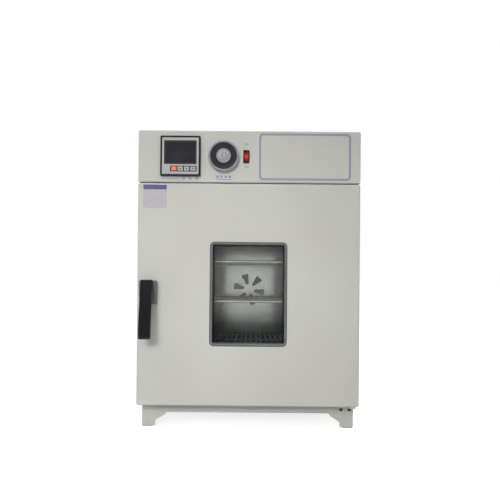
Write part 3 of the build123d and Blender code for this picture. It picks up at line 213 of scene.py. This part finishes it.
# Spark-textured ABS: moulded black plastic with a fine even grain of about 0.4 mm.
abs_black = Finish("textured_abs", IOR=1.53)
abs_black.tones(abs_black.noise(0.01), "#1C1C1F", "#151518")
abs_black.sheen_between(abs_black.noise(0.001), 0.4, 0.52)
abs_black.relief(abs_black.noise(0.0004), 0.00002)

# Bezel plastic: the same ABS, smoother where fingers polish it.
bezel_abs = Finish("bezel_abs", IOR=1.53, Specular_IOR_Level=0.3)
bezel_abs.tones(bezel_abs.noise(0.02), "#1D1D1E", "#18181A")
bezel_abs.sheen_between(bezel_abs.noise(0.006), 0.32, 0.45)
bezel_abs.relief(bezel_abs.noise(0.0005), 0.000015)

# Smoked acrylic: a polished dark lens with a hint of violet.
lens = Finish("smoked_acrylic", IOR=1.49, Roughness=0.12, Specular_IOR_Level=0.25)
lens.tones(lens.noise(0.05), "#353339", "#2F2D33")

# Blasted aluminium: the fan wheel, pale, matt and grainy.
cast = Finish("blasted_aluminium", Metallic=0.2)
cast.tones(cast.noise(0.01, 3.0), "#F2F2EE", "#E2E2DE")
cast.sheen_between(cast.noise(0.004), 0.5, 0.7)

# Turned aluminium: anodised dial plate faced on a lathe, with rings 1.2 mm apart round the knob.
dial_metal = Finish("turned_aluminium", Metallic=0.6)
dial_centre = add(dial_metal.tree, "ShaderNodeMapping", {
    "Vector": dial_metal.place, "Location": (-knob_x, 0, -control_z)})
dial_rings = add(dial_metal.tree, "ShaderNodeTexWave", {
    "Vector": dial_centre.outputs["Vector"], "Scale": 260.0, "Distortion": 0.4},
    wave_type="RINGS", rings_direction="Y")
dial_metal.tones(dial_rings.outputs["Fac"], "#9A9BA0", "#AAABAF", 0.0, 1.0)
dial_metal.sheen_between(dial_metal.noise(0.01), 0.42, 0.54)

# Drawn aluminium: heat sink and terminal rail, plain extrusion lines.
aluminium = Finish("drawn_aluminium", Metallic=1.0)
aluminium.tones(aluminium.noise(0.004, 2.0, (1.0, 0.05, 1.0)), "#A9AAAD", "#98999C")
aluminium.sheen_between(aluminium.noise(0.004), 0.35, 0.5)

# Polished steel: spun vent parts, nearly a mirror with hairlines round the tube.
spun = Finish("polished_steel", Metallic=1.0)
spun.tones(spun.noise(0.003, 2.0, (0.2, 0.2, 4.0)), "#C9CAC9", "#B9BAB9")
spun.sheen_between(spun.noise(0.004), 0.14, 0.26)

# Brass: turned bushes, warm and slightly tarnished.
brass = Finish("turned_brass", Metallic=1.0)
brass.tones(brass.noise(0.006, 3.0), "#B9984C", "#9C7C38")
brass.sheen_between(brass.noise(0.003), 0.25, 0.4)

# Die-cast zinc, painted: dark grey with a fine cast grain of about 0.8 mm under the paint.
die_cast = Finish("painted_die_cast", IOR=1.5)
die_cast.tones(die_cast.noise(0.01), "#6A696B", "#5E5D5E")
die_cast.sheen_between(die_cast.noise(0.004), 0.36, 0.5)
die_cast.relief(die_cast.noise(0.0008), 0.00004)

# Moulded nylon: black grip with a satin skin and faint flow marks along its length.
nylon = Finish("moulded_nylon", IOR=1.53, Specular_IOR_Level=0.2)
nylon.tones(nylon.noise(0.02, 2.0, (1.0, 1.0, 0.25)), "#131318", "#0F0F13")
nylon.sheen_between(nylon.noise(0.006), 0.4, 0.52)
nylon.relief(nylon.noise(0.0006), 0.000025)

# Knob phenolic: hard black moulding, more polished than the other plastics.
phenolic = Finish("knob_phenolic", IOR=1.6, Specular_IOR_Level=0.4)
phenolic.tones(phenolic.noise(0.015), "#222227", "#1C1C20")
phenolic.sheen_between(phenolic.noise(0.005), 0.34, 0.44)

# Key caps: glossy moulded plastic, orange and pale grey, with finger wear in the gloss.
orange_cap = Finish("orange_key", IOR=1.49)
orange_cap.tones(orange_cap.noise(0.006), "#F58138", "#EC7530")
orange_cap.sheen_between(orange_cap.noise(0.002), 0.25, 0.4)
grey_cap = Finish("grey_key", IOR=1.49)
grey_cap.tones(grey_cap.noise(0.006), "#ADADAE", "#A3A3A4")
grey_cap.sheen_between(grey_cap.noise(0.002), 0.3, 0.45)

# Rocker polycarbonate: clear red. Its bright middle is a painted highlight: the surface glows a
# little there, and the
# # glow fades out over a distance of one divided by its scale, in metres, from the middle.
rocker_red = Finish("red_rocker_painted_glow", IOR=1.58, Roughness=0.22)
rocker_red.tones(rocker_red.noise(0.004), "#6E1418", "#5E1013")
painted_glow_scale = (150, 0, 100)
painted_glow_strength = 0.75
rocker_centre = add(rocker_red.tree, "ShaderNodeMapping", {
    "Vector": rocker_red.place, "Scale": painted_glow_scale,
    "Location": (-switch_x * painted_glow_scale[0], 0, -control_z * painted_glow_scale[2])})
rocker_ball = add(rocker_red.tree, "ShaderNodeTexGradient", {
    "Vector": rocker_centre.outputs["Vector"]}, gradient_type="SPHERICAL")
rocker_painted_glow = add(rocker_red.tree, "ShaderNodeMath", {
    0: rocker_ball.outputs["Fac"], 1: painted_glow_strength}, operation="MULTIPLY")
rocker_red.surface.inputs["Emission Color"].default_value = linear("#FF3E3C")
rocker_red.feed("Emission Strength", rocker_painted_glow.outputs["Value"])

# Polyester face film: silver-grey print under a matt film.
face_film = Finish("face_film", IOR=1.5, Specular_IOR_Level=0.4)
face_film.tones(face_film.noise(0.02), "#B4B4B5", "#ACADAE")
face_film.sheen_between(face_film.noise(0.003), 0.35, 0.48)

# Printed inks: flat colours with a slightly broken edge of tone, as screen print leaves.
inks = {}
for name, first, second in (
    ("lavender_ink", "#9C9CAE", "#9292A4"),
    ("blue_ink", "#6F70A6", "#62639A"),
    ("violet_ink", "#63598F", "#584E84"),
    ("black_ink", "#26262A", "#1E1E22"),
    ("white_ink", "#D8D8DA", "#CDCDD0"),
):
    inks[name] = Finish(name, IOR=1.5, Roughness=0.5)
    inks[name].tones(inks[name].noise(0.002, 3.0), first, second)

# Label vinyl: white film with rows of fine grey marks that are too small to read, 2.4 mm apart.
vinyl = Finish("label_vinyl", IOR=1.5, Roughness=0.42)
vinyl_rows = add(vinyl.tree, "ShaderNodeTexWave", {"Vector": vinyl.place, "Scale": 130.0},
                 wave_type="BANDS", bands_direction="Z")
vinyl_words = vinyl.noise(0.0016, 1.0, (1.0, 1.0, 0.4))
vinyl_marks = add(vinyl.tree, "ShaderNodeMath", {
    0: vinyl_rows.outputs["Fac"], 1: vinyl_words}, operation="MULTIPLY")
vinyl.tones(vinyl_marks.outputs["Value"], "#BDBAC0", "#9896A2", 0.3, 0.5)

# Float glass: clear with the green of its edge, thin enough to let lamp light straight through.
glass = Finish("float_glass", IOR=1.45, Roughness=0.0, Transmission_Weight=1.0)
glass.surface.inputs["Base Color"].default_value = linear("#F9FAF9")
glass_light = add(glass.tree, "ShaderNodeLightPath")
glass_clear = add(glass.tree, "ShaderNodeBsdfTransparent", {"Color": linear("#F1F6F3")})
glass_mix = add(glass.tree, "ShaderNodeMixShader", {
    0: glass_light.outputs["Is Shadow Ray"],
    1: glass.surface.outputs["BSDF"],
    2: glass_clear.outputs["BSDF"],
})
glass_out = next(n for n in glass.tree.nodes if n.bl_idname == "ShaderNodeOutputMaterial")
glass.tree.links.new(glass_mix.outputs["Shader"], glass_out.inputs["Surface"])

# The finish of every CAD node
painted = (
    "side_panel_left", "side_panel_right", "top_panel", "bottom_panel", "rear_panel", "front_frame",
    "base_front", "base_rear", "base_sides", "motor_cover", "control_fascia", "door_outer_skin",
    "lower_hinge_bracket",
)
bright_sheet = (
    "chamber_side_walls", "air_baffle", "shelf_runners", "door_inner_skin",
    "window_tunnel", "temperature_probe",
)
plated = (
    "electrics_deck", "upper_hinge_bracket", "latch_keeper", "cabinet_screws", "handle_pivot_pin",
    "latch_rod",
)
moulded = ("controller_case", "thermostat_body", "switch_housing", "cable_gland")
for material, names in (
    (powder, painted),
    (stainless, bright_sheet),
    (zinc, plated),
    (cast, ("fan_wheel",)),
    (stained, ("chamber_floor_pan", "chamber_back_wall", "chamber_ceiling")),
    (baked, ("slotted_floor_plate",)),
    (abs_black, moulded),
    (bezel_abs, ("controller_bezel",)),
    (wire, ("shelf_upper", "shelf_lower")),
    (wool, ("cabinet_insulation", "door_insulation")),
    (sheath, ("heating_elements",)),
    (silicone, ("door_seal",)),
    (rubber, ("window_gasket",)),
    (foot_rubber_and_groove_shade, ("foot_pads",)),
    (enamel, ("fan_motor",)),
    (lens, ("controller_display",)),
    (dial_metal, ("dial_plate",)),
    (aluminium, ("power_electrics",)),
    (spun, ("vent_tube", "vent_cap")),
    (brass, ("door_bushes",)),
    (die_cast, ("handle_base",)),
    (nylon, ("handle_lever",)),
    (phenolic, ("thermostat_knob",)),
    (orange_cap, ("key_set",)),
    (grey_cap, key_names[1:]),
    (rocker_red, ("switch_rocker",)),
    (glass, ("outer_glass", "inner_glass")),
):
    for name in names:
        nodes[name].data.materials.clear()
        nodes[name].data.materials.append(material.material)


def settle(name, mesh, material, body):
    """Welds a mesh, turns its faces outwards, and makes it an object that rides on a body."""
    edit = bmesh.new()
    edit.from_mesh(mesh)
    bmesh.ops.remove_doubles(edit, verts=edit.verts, dist=weld_distance)
    bmesh.ops.recalc_face_normals(edit, faces=edit.faces)
    edit.to_mesh(mesh)
    edit.free()
    mesh.materials.append(material.material)
    made = bpy.data.objects.new(name, mesh)
    bpy.context.scene.collection.objects.link(made)
    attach(made, body)
    return made


def join(name, grids, material, body):
    """Makes one piece from grids of points: each row is a closed loop, and rows follow one another.

    Face k, j joins points j and j + 1 of rows k and k + 1. Points that fall together are welded, so
    a row that shrinks to one point closes the end. A grid that comes with True joins its last row
    to its first.
    """
    points = []
    faces = []
    start = 0
    for sections, closed in grids:
        rows, columns = sections.shape[:2]
        order = start + np.arange(rows * columns).reshape(rows, columns)
        order = np.hstack([order, order[:, :1]])
        if closed:
            order = np.vstack([order, order[:1]])
        corner = (order[:-1, :-1], order[:-1, 1:], order[1:, 1:], order[1:, :-1])
        faces += np.stack(corner, axis=-1).reshape(-1, 4).tolist()
        points.append(sections.reshape(-1, 3))
        start += rows * columns
    mesh = bpy.data.meshes.new(name)
    mesh.from_pydata(np.concatenate(points), [], faces)
    return settle(name, mesh, material, body)


def piece(name, sections, material, body, closed=False):
    """Makes a piece from a single grid of points."""
    return join(name, [(sections, closed)], material, body)


def rounded_outline(width, height, radius, steps=8):
    """Points round a rectangle with rounded corners: each corner is its centre plus radius times
    (cos t, sin t), with t over a quarter turn."""
    turn = np.linspace(0, np.pi / 2, steps)
    corners = []
    for quarter, (sx, sz) in enumerate(((1, 1), (-1, 1), (-1, -1), (1, -1))):
        angle = turn + quarter * np.pi / 2
        centre = (sx * (width / 2 - radius), sz * (height / 2 - radius))
        corners.append(np.stack([
            centre[0] + radius * np.cos(angle), centre[1] + radius * np.sin(angle)], axis=-1))
    return np.concatenate(corners)


def on_front(outline, centre, y):
    """Stands a flat outline up facing the user: its first axis is X and its second is Z."""
    flat = np.asarray(outline)
    return np.stack([
        centre[0] + flat[:, 0], np.full(len(flat), y), centre[1] + flat[:, 1]], axis=-1)


def plate(outline, centre, y, thickness):
    """A thin plate that fills an outline: rows run from the middle to the rim, over it and back."""
    shrink = 1 - chamfer_share * thickness / np.abs(outline).max()
    return np.stack([
        on_front(outline * 0, centre, y - thickness),
        on_front(outline * shrink, centre, y - thickness),
        on_front(outline, centre, y - (1 - chamfer_share) * thickness),
        on_front(outline, centre, y),
        on_front(outline * 0, centre, y),
    ])


def band(outer, inner, centre, y, thickness, offset=(0, 0)):
    """A flat ring between two outlines of as many points: rows go round its section."""
    inner = inner + np.asarray(offset)
    return np.stack([
        on_front(outer, centre, y),
        on_front(outer, centre, y - thickness),
        on_front(inner, centre, y - thickness),
        on_front(inner, centre, y),
    ])


def turned(profile, centre, steps):
    """A turned shape about an axis along Y: profile rows are (radius, y), and each is carried round
    the circle (radius cos t, y, radius sin t)."""
    angle = np.linspace(0, 2 * np.pi, steps, endpoint=False)
    radius = np.array([row[0] for row in profile])[:, None]
    depth = np.array([row[1] for row in profile])[:, None]
    return np.stack([
        centre[0] + radius * np.cos(angle),
        depth + 0 * angle,
        centre[1] + radius * np.sin(angle)], axis=-1)


# Controller face: silver film round the display, black key strip, display mask and key symbols
face_inset = 1 * millimetre
face_y = bezel_low.y + face_inset
face_side = 87.6 * millimetre
display_width = display_high.x - display_low.x
display_height = display_high.z - display_low.z
display_z = (display_high.z + display_low.z) / 2
display_gap = 0.4 * millimetre
face_outline = rounded_outline(face_side, face_side, 1.5 * millimetre)
opening = rounded_outline(display_width + display_gap, display_height + display_gap,
                          1.6 * millimetre)
piece("controller_film", band(face_outline, opening, (controller_x, control_z), face_y, film_proud,
                              (0, display_z - control_z)),
      face_film, "cabinet", closed=True)

key_boxes = [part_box(name) for name in key_names]
key_z = (key_boxes[0][0].z + key_boxes[0][1].z) / 2
key_centres = [(low.x + high.x) / 2 for low, high in key_boxes]
key_front = key_boxes[0][0].y
strip_centre = ((key_centres[0] + key_centres[-1]) / 2, key_z)
strip_width = 63.5 * millimetre
strip_height = 13.8 * millimetre
strip = rounded_outline(strip_width, strip_height, 1.5 * millimetre)
piece("key_strip", plate(strip, strip_centre, face_y - film_proud, ink_proud),
      inks["black_ink"], "cabinet")

mask_side = 4.5 * millimetre
mask_top = 4.0 * millimetre
mask_inner = rounded_outline(display_width - 2 * mask_side, display_height - 2 * mask_top,
                             1.0 * millimetre)
mask_outer = rounded_outline(display_width, display_height, 1.2 * millimetre)
piece("display_mask", band(mask_outer, mask_inner, (controller_x, display_z), display_low.y,
                           ink_proud),
      inks["black_ink"], "cabinet", closed=True)

# Key symbols: triangles that point left, down and up
arrow_radius = 2.2 * millimetre
for name, centre_x, turn in zip(key_names[1:], key_centres[1:], (180, 270, 90)):
    corner = np.radians(turn + np.array([0, 120, 240]))
    triangle = arrow_radius * np.stack([np.cos(corner), np.sin(corner)], axis=-1)
    piece(f"{name}_symbol", plate(triangle, (centre_x, key_z), key_front, ink_proud),
          inks["black_ink"], f"{name}_body")

# Knob: a silver cap with a raised rim, a black dished ring and a silver trim ring. Each profile row
# is a radius and a depth behind the knob's face, in millimetres.
knob_front = knob_low.y
knob_centre = (knob_x, control_z)
cap_rows = ((0, -0.7), (14.2, -0.8), (15.0, -1.5), (16.4, -1.7), (17.1, -1.3), (17.4, 0), (0, 0))
ring_rows = (
    (17.5, 2.0), (17.5, -0.5), (18.2, -0.9), (20.0, -0.6), (24.0, -0.5), (27.5, -0.9), (29.8, -1.7),
    (30.6, -1.8), (31.2, -1.2), (31.4, -0.4), (31.4, 2.2), (30.6, 3.2), (28.0, 3.2), (22.0, 2.0))
trim_rows = (
    (31.9, 3.0), (31.9, -0.7), (32.6, -1.3), (34.6, -1.4), (35.8, -1.0), (36.5, 0.2), (36.8, 2.5),
    (37.0, 10.6), (36.4, 11.4), (34.8, 10.0))
for name, rows, steps, material, slot, closed in (
    ("knob_cap", cap_rows, 64, dial_metal, "dial_aluminium", False),
    ("knob_ring", ring_rows, 96, phenolic, "black_abs", True),
    ("knob_trim", trim_rows, 96, dial_metal, "dial_aluminium", True),
):
    profile = [(radius * millimetre, knob_front + depth * millimetre) for radius, depth in rows]
    piece(name, turned(profile, knob_centre, steps), material, "knob", closed)


def arc_band(radius, width, start, end, centre, y, steps=40):
    """A flat printed arc: its section, a thin rectangle, is carried from one angle to the other, at
    (radius cos t, radius sin t) with t in degrees, and shrinks to a point at both ends."""
    angle = np.radians(np.concatenate([[start], np.linspace(start, end, steps), [end]]))
    half = np.full(steps + 2, width / 2)
    half[[0, -1]] = 0
    rise = np.full(steps + 2, ink_proud)
    rise[[0, -1]] = 0
    corners = []
    for side, lift in ((-1, 0), (-1, 1), (1, 1), (1, 0)):
        reach = radius + side * half
        corners.append(np.stack([
            centre[0] + reach * np.cos(angle), y - lift * rise, centre[1] + reach * np.sin(angle)],
            axis=-1))
    return np.stack(corners, axis=1)


# Marks on the cap: two arcs and three short bars, each bar a little shorter than the one above. The
# arcs' rows are a radius and a width in millimetres, and two angles in degrees.
cap_print_y = knob_front - 0.72 * millimetre
bar_height = 1.4 * millimetre
bar_pitch = 3.2 * millimetre
cap_marks = []
for radius, width, start, end in ((11.2, 1.6, 20, 200), (8.4, 0.9, 110, 250)):
    arc = arc_band(radius * millimetre, width * millimetre, start, end, knob_centre, cap_print_y)
    cap_marks.append((arc, False))
for number in range(3):
    bar = rounded_outline((4.5 - number) * millimetre, bar_height, 0.3 * millimetre, steps=3)
    centre = (knob_x + 1.2 * millimetre, control_z + 3.4 * millimetre - bar_pitch * number)
    cap_marks.append((plate(bar, centre, cap_print_y, ink_proud), False))
join("knob_cap_print", cap_marks, inks["white_ink"], "knob")

# Printed frame on the right of the fascia
frame_centre = (133.1 * millimetre, 660.8 * millimetre)
frame_width = 221 * millimetre
frame_height = 113 * millimetre
frame_line = 5.3 * millimetre
print_outer = rounded_outline(frame_width, frame_height, 10 * millimetre)
print_inner = rounded_outline(frame_width - 2 * frame_line, frame_height - 2 * frame_line,
                              6 * millimetre)
piece("print_frame", band(print_outer, print_inner, frame_centre, front_y, ink_proud),
      inks["lavender_ink"], "cabinet", closed=True)

# Marks under the controller: a row of ticks and three rings
tick_count = 14
tick_pitch = 2.9 * millimetre
tick_start = controller_x - 41 * millimetre
tick_foot = 604.5 * millimetre
tick_marks = []
for number in range(tick_count):
    height = (4.0 if number % 4 == 0 else 2.6) * millimetre
    tick = rounded_outline(1.2 * millimetre, height, 0.2 * millimetre, steps=3)
    centre = (tick_start + number * tick_pitch, tick_foot + height / 2)
    tick_marks.append((plate(tick, centre, front_y, ink_proud), False))
for shift in (7, 23, 39):
    outer = rounded_outline(6.4 * millimetre, 5.4 * millimetre, 1.8 * millimetre)
    inner = rounded_outline(3.6 * millimetre, 2.6 * millimetre, 0.8 * millimetre)
    centre = (controller_x + shift * millimetre, tick_foot + 2.4 * millimetre)
    tick_marks.append((band(outer, inner, centre, front_y, ink_proud), True))
join("controller_scale_print", tick_marks, inks["blue_ink"], "cabinet")

# Marks under the knob: a row of rings over a row of dashes
mark_count = 4
mark_pitch = 10 * millimetre
mark_z = 612 * millimetre
dash_count = 12
dash_pitch = 3.1 * millimetre
dash_z = 605.5 * millimetre
knob_marks = []
for number in range(mark_count):
    outer = rounded_outline(5.4 * millimetre, 5.0 * millimetre, 1.0 * millimetre)
    inner = rounded_outline(2.6 * millimetre, 1.8 * millimetre, 0.5 * millimetre)
    centre = (knob_x + (number - (mark_count - 1) / 2) * mark_pitch, mark_z)
    knob_marks.append((band(outer, inner, centre, front_y, ink_proud), True))
for number in range(dash_count):
    dash = rounded_outline(2.2 * millimetre, 1.6 * millimetre, 0.3 * millimetre, steps=3)
    centre = (knob_x + (number - (dash_count - 1) / 2) * dash_pitch, dash_z)
    knob_marks.append((plate(dash, centre, front_y, ink_proud), False))
join("knob_scale_print", knob_marks, inks["blue_ink"], "cabinet")

capital_share = 0.7


def printed(name, text, height, centre, y, material, body):
    """Prints a short word: the text's own outline, filled flat, stood up facing the user. A capital
    letter stands as high as the font's size times capital_share."""
    curve = bpy.data.curves.new(name, "FONT")
    curve.body = text
    curve.size = height / capital_share
    curve.align_x = "CENTER"
    curve.align_y = "CENTER"
    curve.extrude = ink_proud / 2
    made = bpy.data.objects.new(name, curve)
    mesh = bpy.data.meshes.new_from_object(made)
    bpy.data.objects.remove(made)
    stand = Matrix.Translation((centre[0], y - ink_proud / 2, centre[1]))
    mesh.transform(stand @ Matrix.Rotation(radians(90), 4, "X"))
    return settle(name, mesh, material, body)


# Words over and under the switch
word_height = 4.6 * millimetre
for name, word, word_z in (
    ("switch_on_print", "ON", 690 * millimetre),
    ("switch_off_print", "OFF", 635 * millimetre),
):
    printed(name, word, word_height, (switch_x, word_z), front_y, inks["blue_ink"], "cabinet")

# Blank label on the door: vinyl with a violet band along its top
label_centre = (-226.2 * millimetre, 563.5 * millimetre)
label_side = 56 * millimetre
label_band_height = 11 * millimetre
label_corner = 1.0 * millimetre
band_centre = (label_centre[0], label_centre[1] + (label_side - label_band_height) / 2)
label = rounded_outline(label_side, label_side, label_corner, steps=4)
piece("door_label", plate(label, label_centre, front_y, film_proud), vinyl, "door")
label_band = rounded_outline(label_side, label_band_height, label_corner, steps=4)
piece("door_label_band", plate(label_band, band_centre, front_y - film_proud, ink_proud),
      inks["violet_ink"], "door")

# Painted shade: a thin black ring in the joint between the window gasket and the door skin, where
# the groove lies in shade
shade_on_skin = 0.6 * millimetre
shade_on_gasket = 0.5 * millimetre
shade_proud = 3 * film_proud
shade_centre = ((gasket_low.x + gasket_high.x) / 2, (gasket_low.z + gasket_high.z) / 2)
gasket_width = gasket_high.x - gasket_low.x
gasket_height = gasket_high.z - gasket_low.z
shade_outer = rounded_outline(gasket_width + 2 * shade_on_skin, gasket_height + 2 * shade_on_skin,
                             10.5 * millimetre)
shade_inner = rounded_outline(gasket_width - 2 * shade_on_gasket, gasket_height - 2 * shade_on_gasket,
                             9.4 * millimetre)
piece("gasket_groove_shade", band(shade_outer, shade_inner, shade_centre, front_y, shade_proud),
      foot_rubber_and_groove_shade, "door", closed=True)

# Screws with a cross recess, one where each plain screw of the frame is. The head's dome drops
# towards the rim by a share of the head's height, and the shank's radius is a share of the head's.
head_radius = 4.5 * millimetre
head_height = 2.5 * millimetre
dome_drop = 0.35
edge_height = 0.5 * head_height
shank_share = 0.5
recess_depth = 0.5 * head_height
recess_half_width = 0.16 * head_radius
recess_reach = 0.62 * head_radius


def screw(foot, outward, shank):
    """A pan-head screw along Y: over a polar grid (r, t) its height is a dome that falls with r
    squared, less a cross recess that is deep where x or z is small and ends before the rim."""
    dome = np.linspace(0, 0.93, 14)
    radius = np.concatenate([dome, [1.0, 1.0, shank_share, shank_share, 0.0]]) * head_radius
    height = head_height * (1 - dome_drop * (radius / head_radius) ** 2)
    height[-5:] = (edge_height, 0, 0, -shank, -shank)
    angle = np.linspace(0, 2 * np.pi, 48, endpoint=False)
    x = radius[:, None] * np.cos(angle)
    z = radius[:, None] * np.sin(angle)
    across = np.minimum(np.abs(x), np.abs(z)) / recess_half_width
    along = radius[:, None] / recess_reach
    recess = np.clip(1.5 - across, 0, 1) * np.clip(4 - 4 * along, 0, 1) * recess_depth
    recess[-5:] = 0
    y = outward * (height[:, None] - recess)
    return np.stack([foot[0] + x, foot[1] + y, foot[2] + z], axis=-1)


# Each screw's points are those near the first point that is left. Front screws point to -1 along Y
# and rear ones to 1.
screw_points = np.array([vertex.co for vertex in nodes["cabinet_screws"].data.vertices])
screw_grids = {-1: [], 1: []}
while len(screw_points):
    first = screw_points[0]
    near = np.linalg.norm(screw_points - first, axis=1) < 3 * head_radius
    low = screw_points[near].min(axis=0)
    high = screw_points[near].max(axis=0)
    screw_points = screw_points[~near]
    outward = -1 if first[1] < 0 else 1
    head_y = high[1] - head_height if outward > 0 else low[1] + head_height
    foot = ((low[0] + high[0]) / 2, head_y, (low[2] + high[2]) / 2)
    screw_grids[outward].append((screw(foot, outward, high[1] - low[1] - head_height), False))
for name, outward, material in (("hinge_screws", -1, oxide), ("rear_screws", 1, zinc)):
    screws = join(name, screw_grids[outward], material, "cabinet")
    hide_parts("cabinet_screws")

# Dome rivets that hold the door's inner skin to the folded edge behind it
rivet_radius = 3.2 * millimetre
rivet_rise = 1.2 * millimetre
rivet_sink = 0.4 * millimetre
rivet_margin = 14 * millimetre
rivet_profile = [(rivet_radius * np.sin(turn), door_high.y + rivet_rise * np.cos(turn))
                 for turn in np.linspace(0, np.pi / 2, 7)]
rivet_profile += [(rivet_radius, door_high.y - rivet_sink), (0, door_high.y - rivet_sink)]
rivet_rows = np.linspace(door_low.z + rivet_margin, door_high.z - rivet_margin, 5)
rivet_columns = np.linspace(door_low.x + rivet_margin, door_high.x - rivet_margin, 5)
rivet_places = [(x, z) for x in (rivet_columns[0], rivet_columns[-1]) for z in rivet_rows]
rivet_places += [(x, z) for x in rivet_columns[1:-1] for z in (rivet_rows[0], rivet_rows[-1])]
join("door_rivets", [(turned(rivet_profile, place, steps=20), False) for place in rivet_places],
     stainless, "door")

# Floor
floor_reach = 30.0
floor_mesh = bpy.data.meshes.new("floor")
floor_mesh.from_pydata(
    [(-floor_reach, -floor_reach, 0), (floor_reach, -floor_reach, 0),
     (floor_reach, floor_reach, 0), (-floor_reach, floor_reach, 0)], [], [(0, 1, 2, 3)])
floor = bpy.data.objects.new("floor", floor_mesh)
bpy.context.scene.collection.objects.link(floor)


def seen_rays(tree):
    """One where a ray comes from the eye, a mirror or a pane, so all three see one background."""
    path = add(tree, "ShaderNodeLightPath")
    first = add(tree, "ShaderNodeMath", {
        0: path.outputs["Is Camera Ray"], 1: path.outputs["Is Glossy Ray"]}, operation="MAXIMUM")
    both = add(tree, "ShaderNodeMath", {
        0: first.outputs["Value"], 1: path.outputs["Is Transmission Ray"]}, operation="MAXIMUM")
    return both.outputs["Value"]


# Paper sweep: matt white, and white enough to the eye that only the soft shadow shows on it
sweep = bpy.data.materials.new("paper_sweep")
sweep.use_nodes = True
tree = sweep.node_tree
tree.nodes.clear()
paper = add(tree, "ShaderNodeBsdfDiffuse", {"Color": linear("#EEEEEC")})
seen_paper = add(tree, "ShaderNodeBsdfDiffuse", {"Color": linear("#CBCBCB")})
paper_light = add(tree, "ShaderNodeEmission", {"Color": linear("#FFFFFF"), "Strength": 0.78})
paper_seen = add(tree, "ShaderNodeAddShader", {
    0: seen_paper.outputs["BSDF"], 1: paper_light.outputs["Emission"]})
paper_mix = add(tree, "ShaderNodeMixShader", {
    0: seen_rays(tree), 1: paper.outputs["BSDF"], 2: paper_seen.outputs["Shader"]})
add(tree, "ShaderNodeOutputMaterial", {"Surface": paper_mix.outputs["Shader"]})
floor_mesh.materials.append(sweep)

# Studio: an even pale surround, a key lamp with a narrow beam that mirrors don't see, and two broad
# soft lamps. Each lamp has a place, an aim, a width, a spread in degrees and a power in watts.
world = bpy.data.worlds.new("studio")
world.use_nodes = True
bpy.context.scene.world = world
tree = world.node_tree
tree.nodes.clear()
surround = add(tree, "ShaderNodeBackground", {"Color": linear("#FFFFFF"), "Strength": 0.47})
backdrop = add(tree, "ShaderNodeBackground", {"Color": linear("#FFFFFF"), "Strength": 1.0})
surround_mix = add(tree, "ShaderNodeMixShader", {
    0: seen_rays(tree), 1: surround.outputs["Background"], 2: backdrop.outputs["Background"]})
add(tree, "ShaderNodeOutputWorld", {"Surface": surround_mix.outputs["Shader"]})

for name, place, aim, size, spread, power in (
    ("key_lamp", (-0.5, -2.5, 1.2), (-0.12, front_y, 0.36), 1.1, 27, 1.75),
    ("top_lamp", (0.0, 0.4, 2.8), (0.0, 0.0, 0.4), 2.2, 180, 15),
    ("rear_lamp", (1.9, 2.2, 1.4), (0.0, 0.0, 0.4), 1.8, 180, 22),
):
    lamp = bpy.data.lights.new(name, "AREA")
    lamp.shape = "DISK"
    lamp.size = size
    lamp.spread = radians(spread)
    lamp.energy = power
    holder = bpy.data.objects.new(name, lamp)
    holder.location = place
    holder.rotation_euler = (Vector(aim) - Vector(place)).to_track_quat("-Z", "Y").to_euler()
    holder.visible_glossy = name != "key_lamp"
    bpy.context.scene.collection.objects.link(holder)


# How far the two sheets that hang behind the camera stay off the floor
sheet_foot = 0.02


def hanging(name, y, half_width, top, **seen):
    """Hangs a flat stage sheet across the studio behind the camera, seen only by the rays named."""
    mesh = bpy.data.meshes.new(name)
    mesh.from_pydata(
        [(-half_width, y, sheet_foot), (half_width, y, sheet_foot),
         (half_width, y, top), (-half_width, y, top)], [], [(0, 1, 2, 3)])
    sheet = bpy.data.objects.new(name, mesh)
    bpy.context.scene.collection.objects.link(sheet)
    for rays in ("camera", "diffuse", "glossy", "transmission", "shadow"):
        setattr(sheet, f"visible_{rays}", seen.get(rays, False))
    material = bpy.data.materials.new(f"{name}_cloth")
    material.use_nodes = True
    mesh.materials.append(material)
    return material.node_tree


# Dark curtain: only gloss sees it, so that the plastics and the glass keep their depth. It hangs
# close enough behind the camera to hide the pale floor from the foot of the window.
tree = hanging("curtain", -1.9, 0.87, 1.26, glossy=True)
velvet = tree.nodes["Principled BSDF"]
velvet.inputs["Base Color"].default_value = linear("#4A4A48")
velvet.inputs["Roughness"].default_value = 0.9

# Grey screen: only what is behind the glass sees it, lit in its middle, so that the chamber's
# bright sheet mirrors a soft pale patch with dark round it
patch_z = 0.35
patch_half_width = 0.41
patch_half_height = 0.25
tree = hanging("screen", -1.89, 1.08, 1.45, transmission=True)
tree.nodes.clear()
screen_place = add(tree, "ShaderNodeTexCoord").outputs["Object"]
screen_middle = add(tree, "ShaderNodeMapping", {
    "Vector": screen_place, "Location": (0, 0, -patch_z / patch_half_height),
    "Scale": (1 / patch_half_width, 0, 1 / patch_half_height)})
screen_patch = add(tree, "ShaderNodeTexGradient", {
    "Vector": screen_middle.outputs["Vector"]}, gradient_type="SPHERICAL")
screen_fade = add(tree, "ShaderNodeMapRange", {
    "Value": screen_patch.outputs["Fac"], "From Max": 0.35, "To Min": 0.16, "To Max": 0.88})
screen_light = add(tree, "ShaderNodeEmission", {
    "Color": linear("#FFFFFF"), "Strength": screen_fade.outputs["Result"]})
add(tree, "ShaderNodeOutputMaterial", {"Surface": screen_light.outputs["Emission"]})

# Camera: level with the middle of the door, a little up, rolled and turned as the photo's was
eye_x = 0.0081
eye_z = 0.3733
eye_distance = 1.5
eye_up = radians(0.5)
eye_roll = radians(-0.52)
eye_turn = radians(0.17)
eye = bpy.data.cameras.new("eye")
eye.lens = 45.04
eye.sensor_width = 36.0
eye.shift_y = 0.0418
viewer = bpy.data.objects.new("eye", eye)
viewer.location = (eye_x, front_y - eye_distance, eye_z)
viewer.rotation_euler = (radians(90) + eye_up, eye_roll, eye_turn)
bpy.context.scene.collection.objects.link(viewer)
bpy.context.scene.camera = viewer
bpy.context.scene.view_settings.view_transform = "Standard"
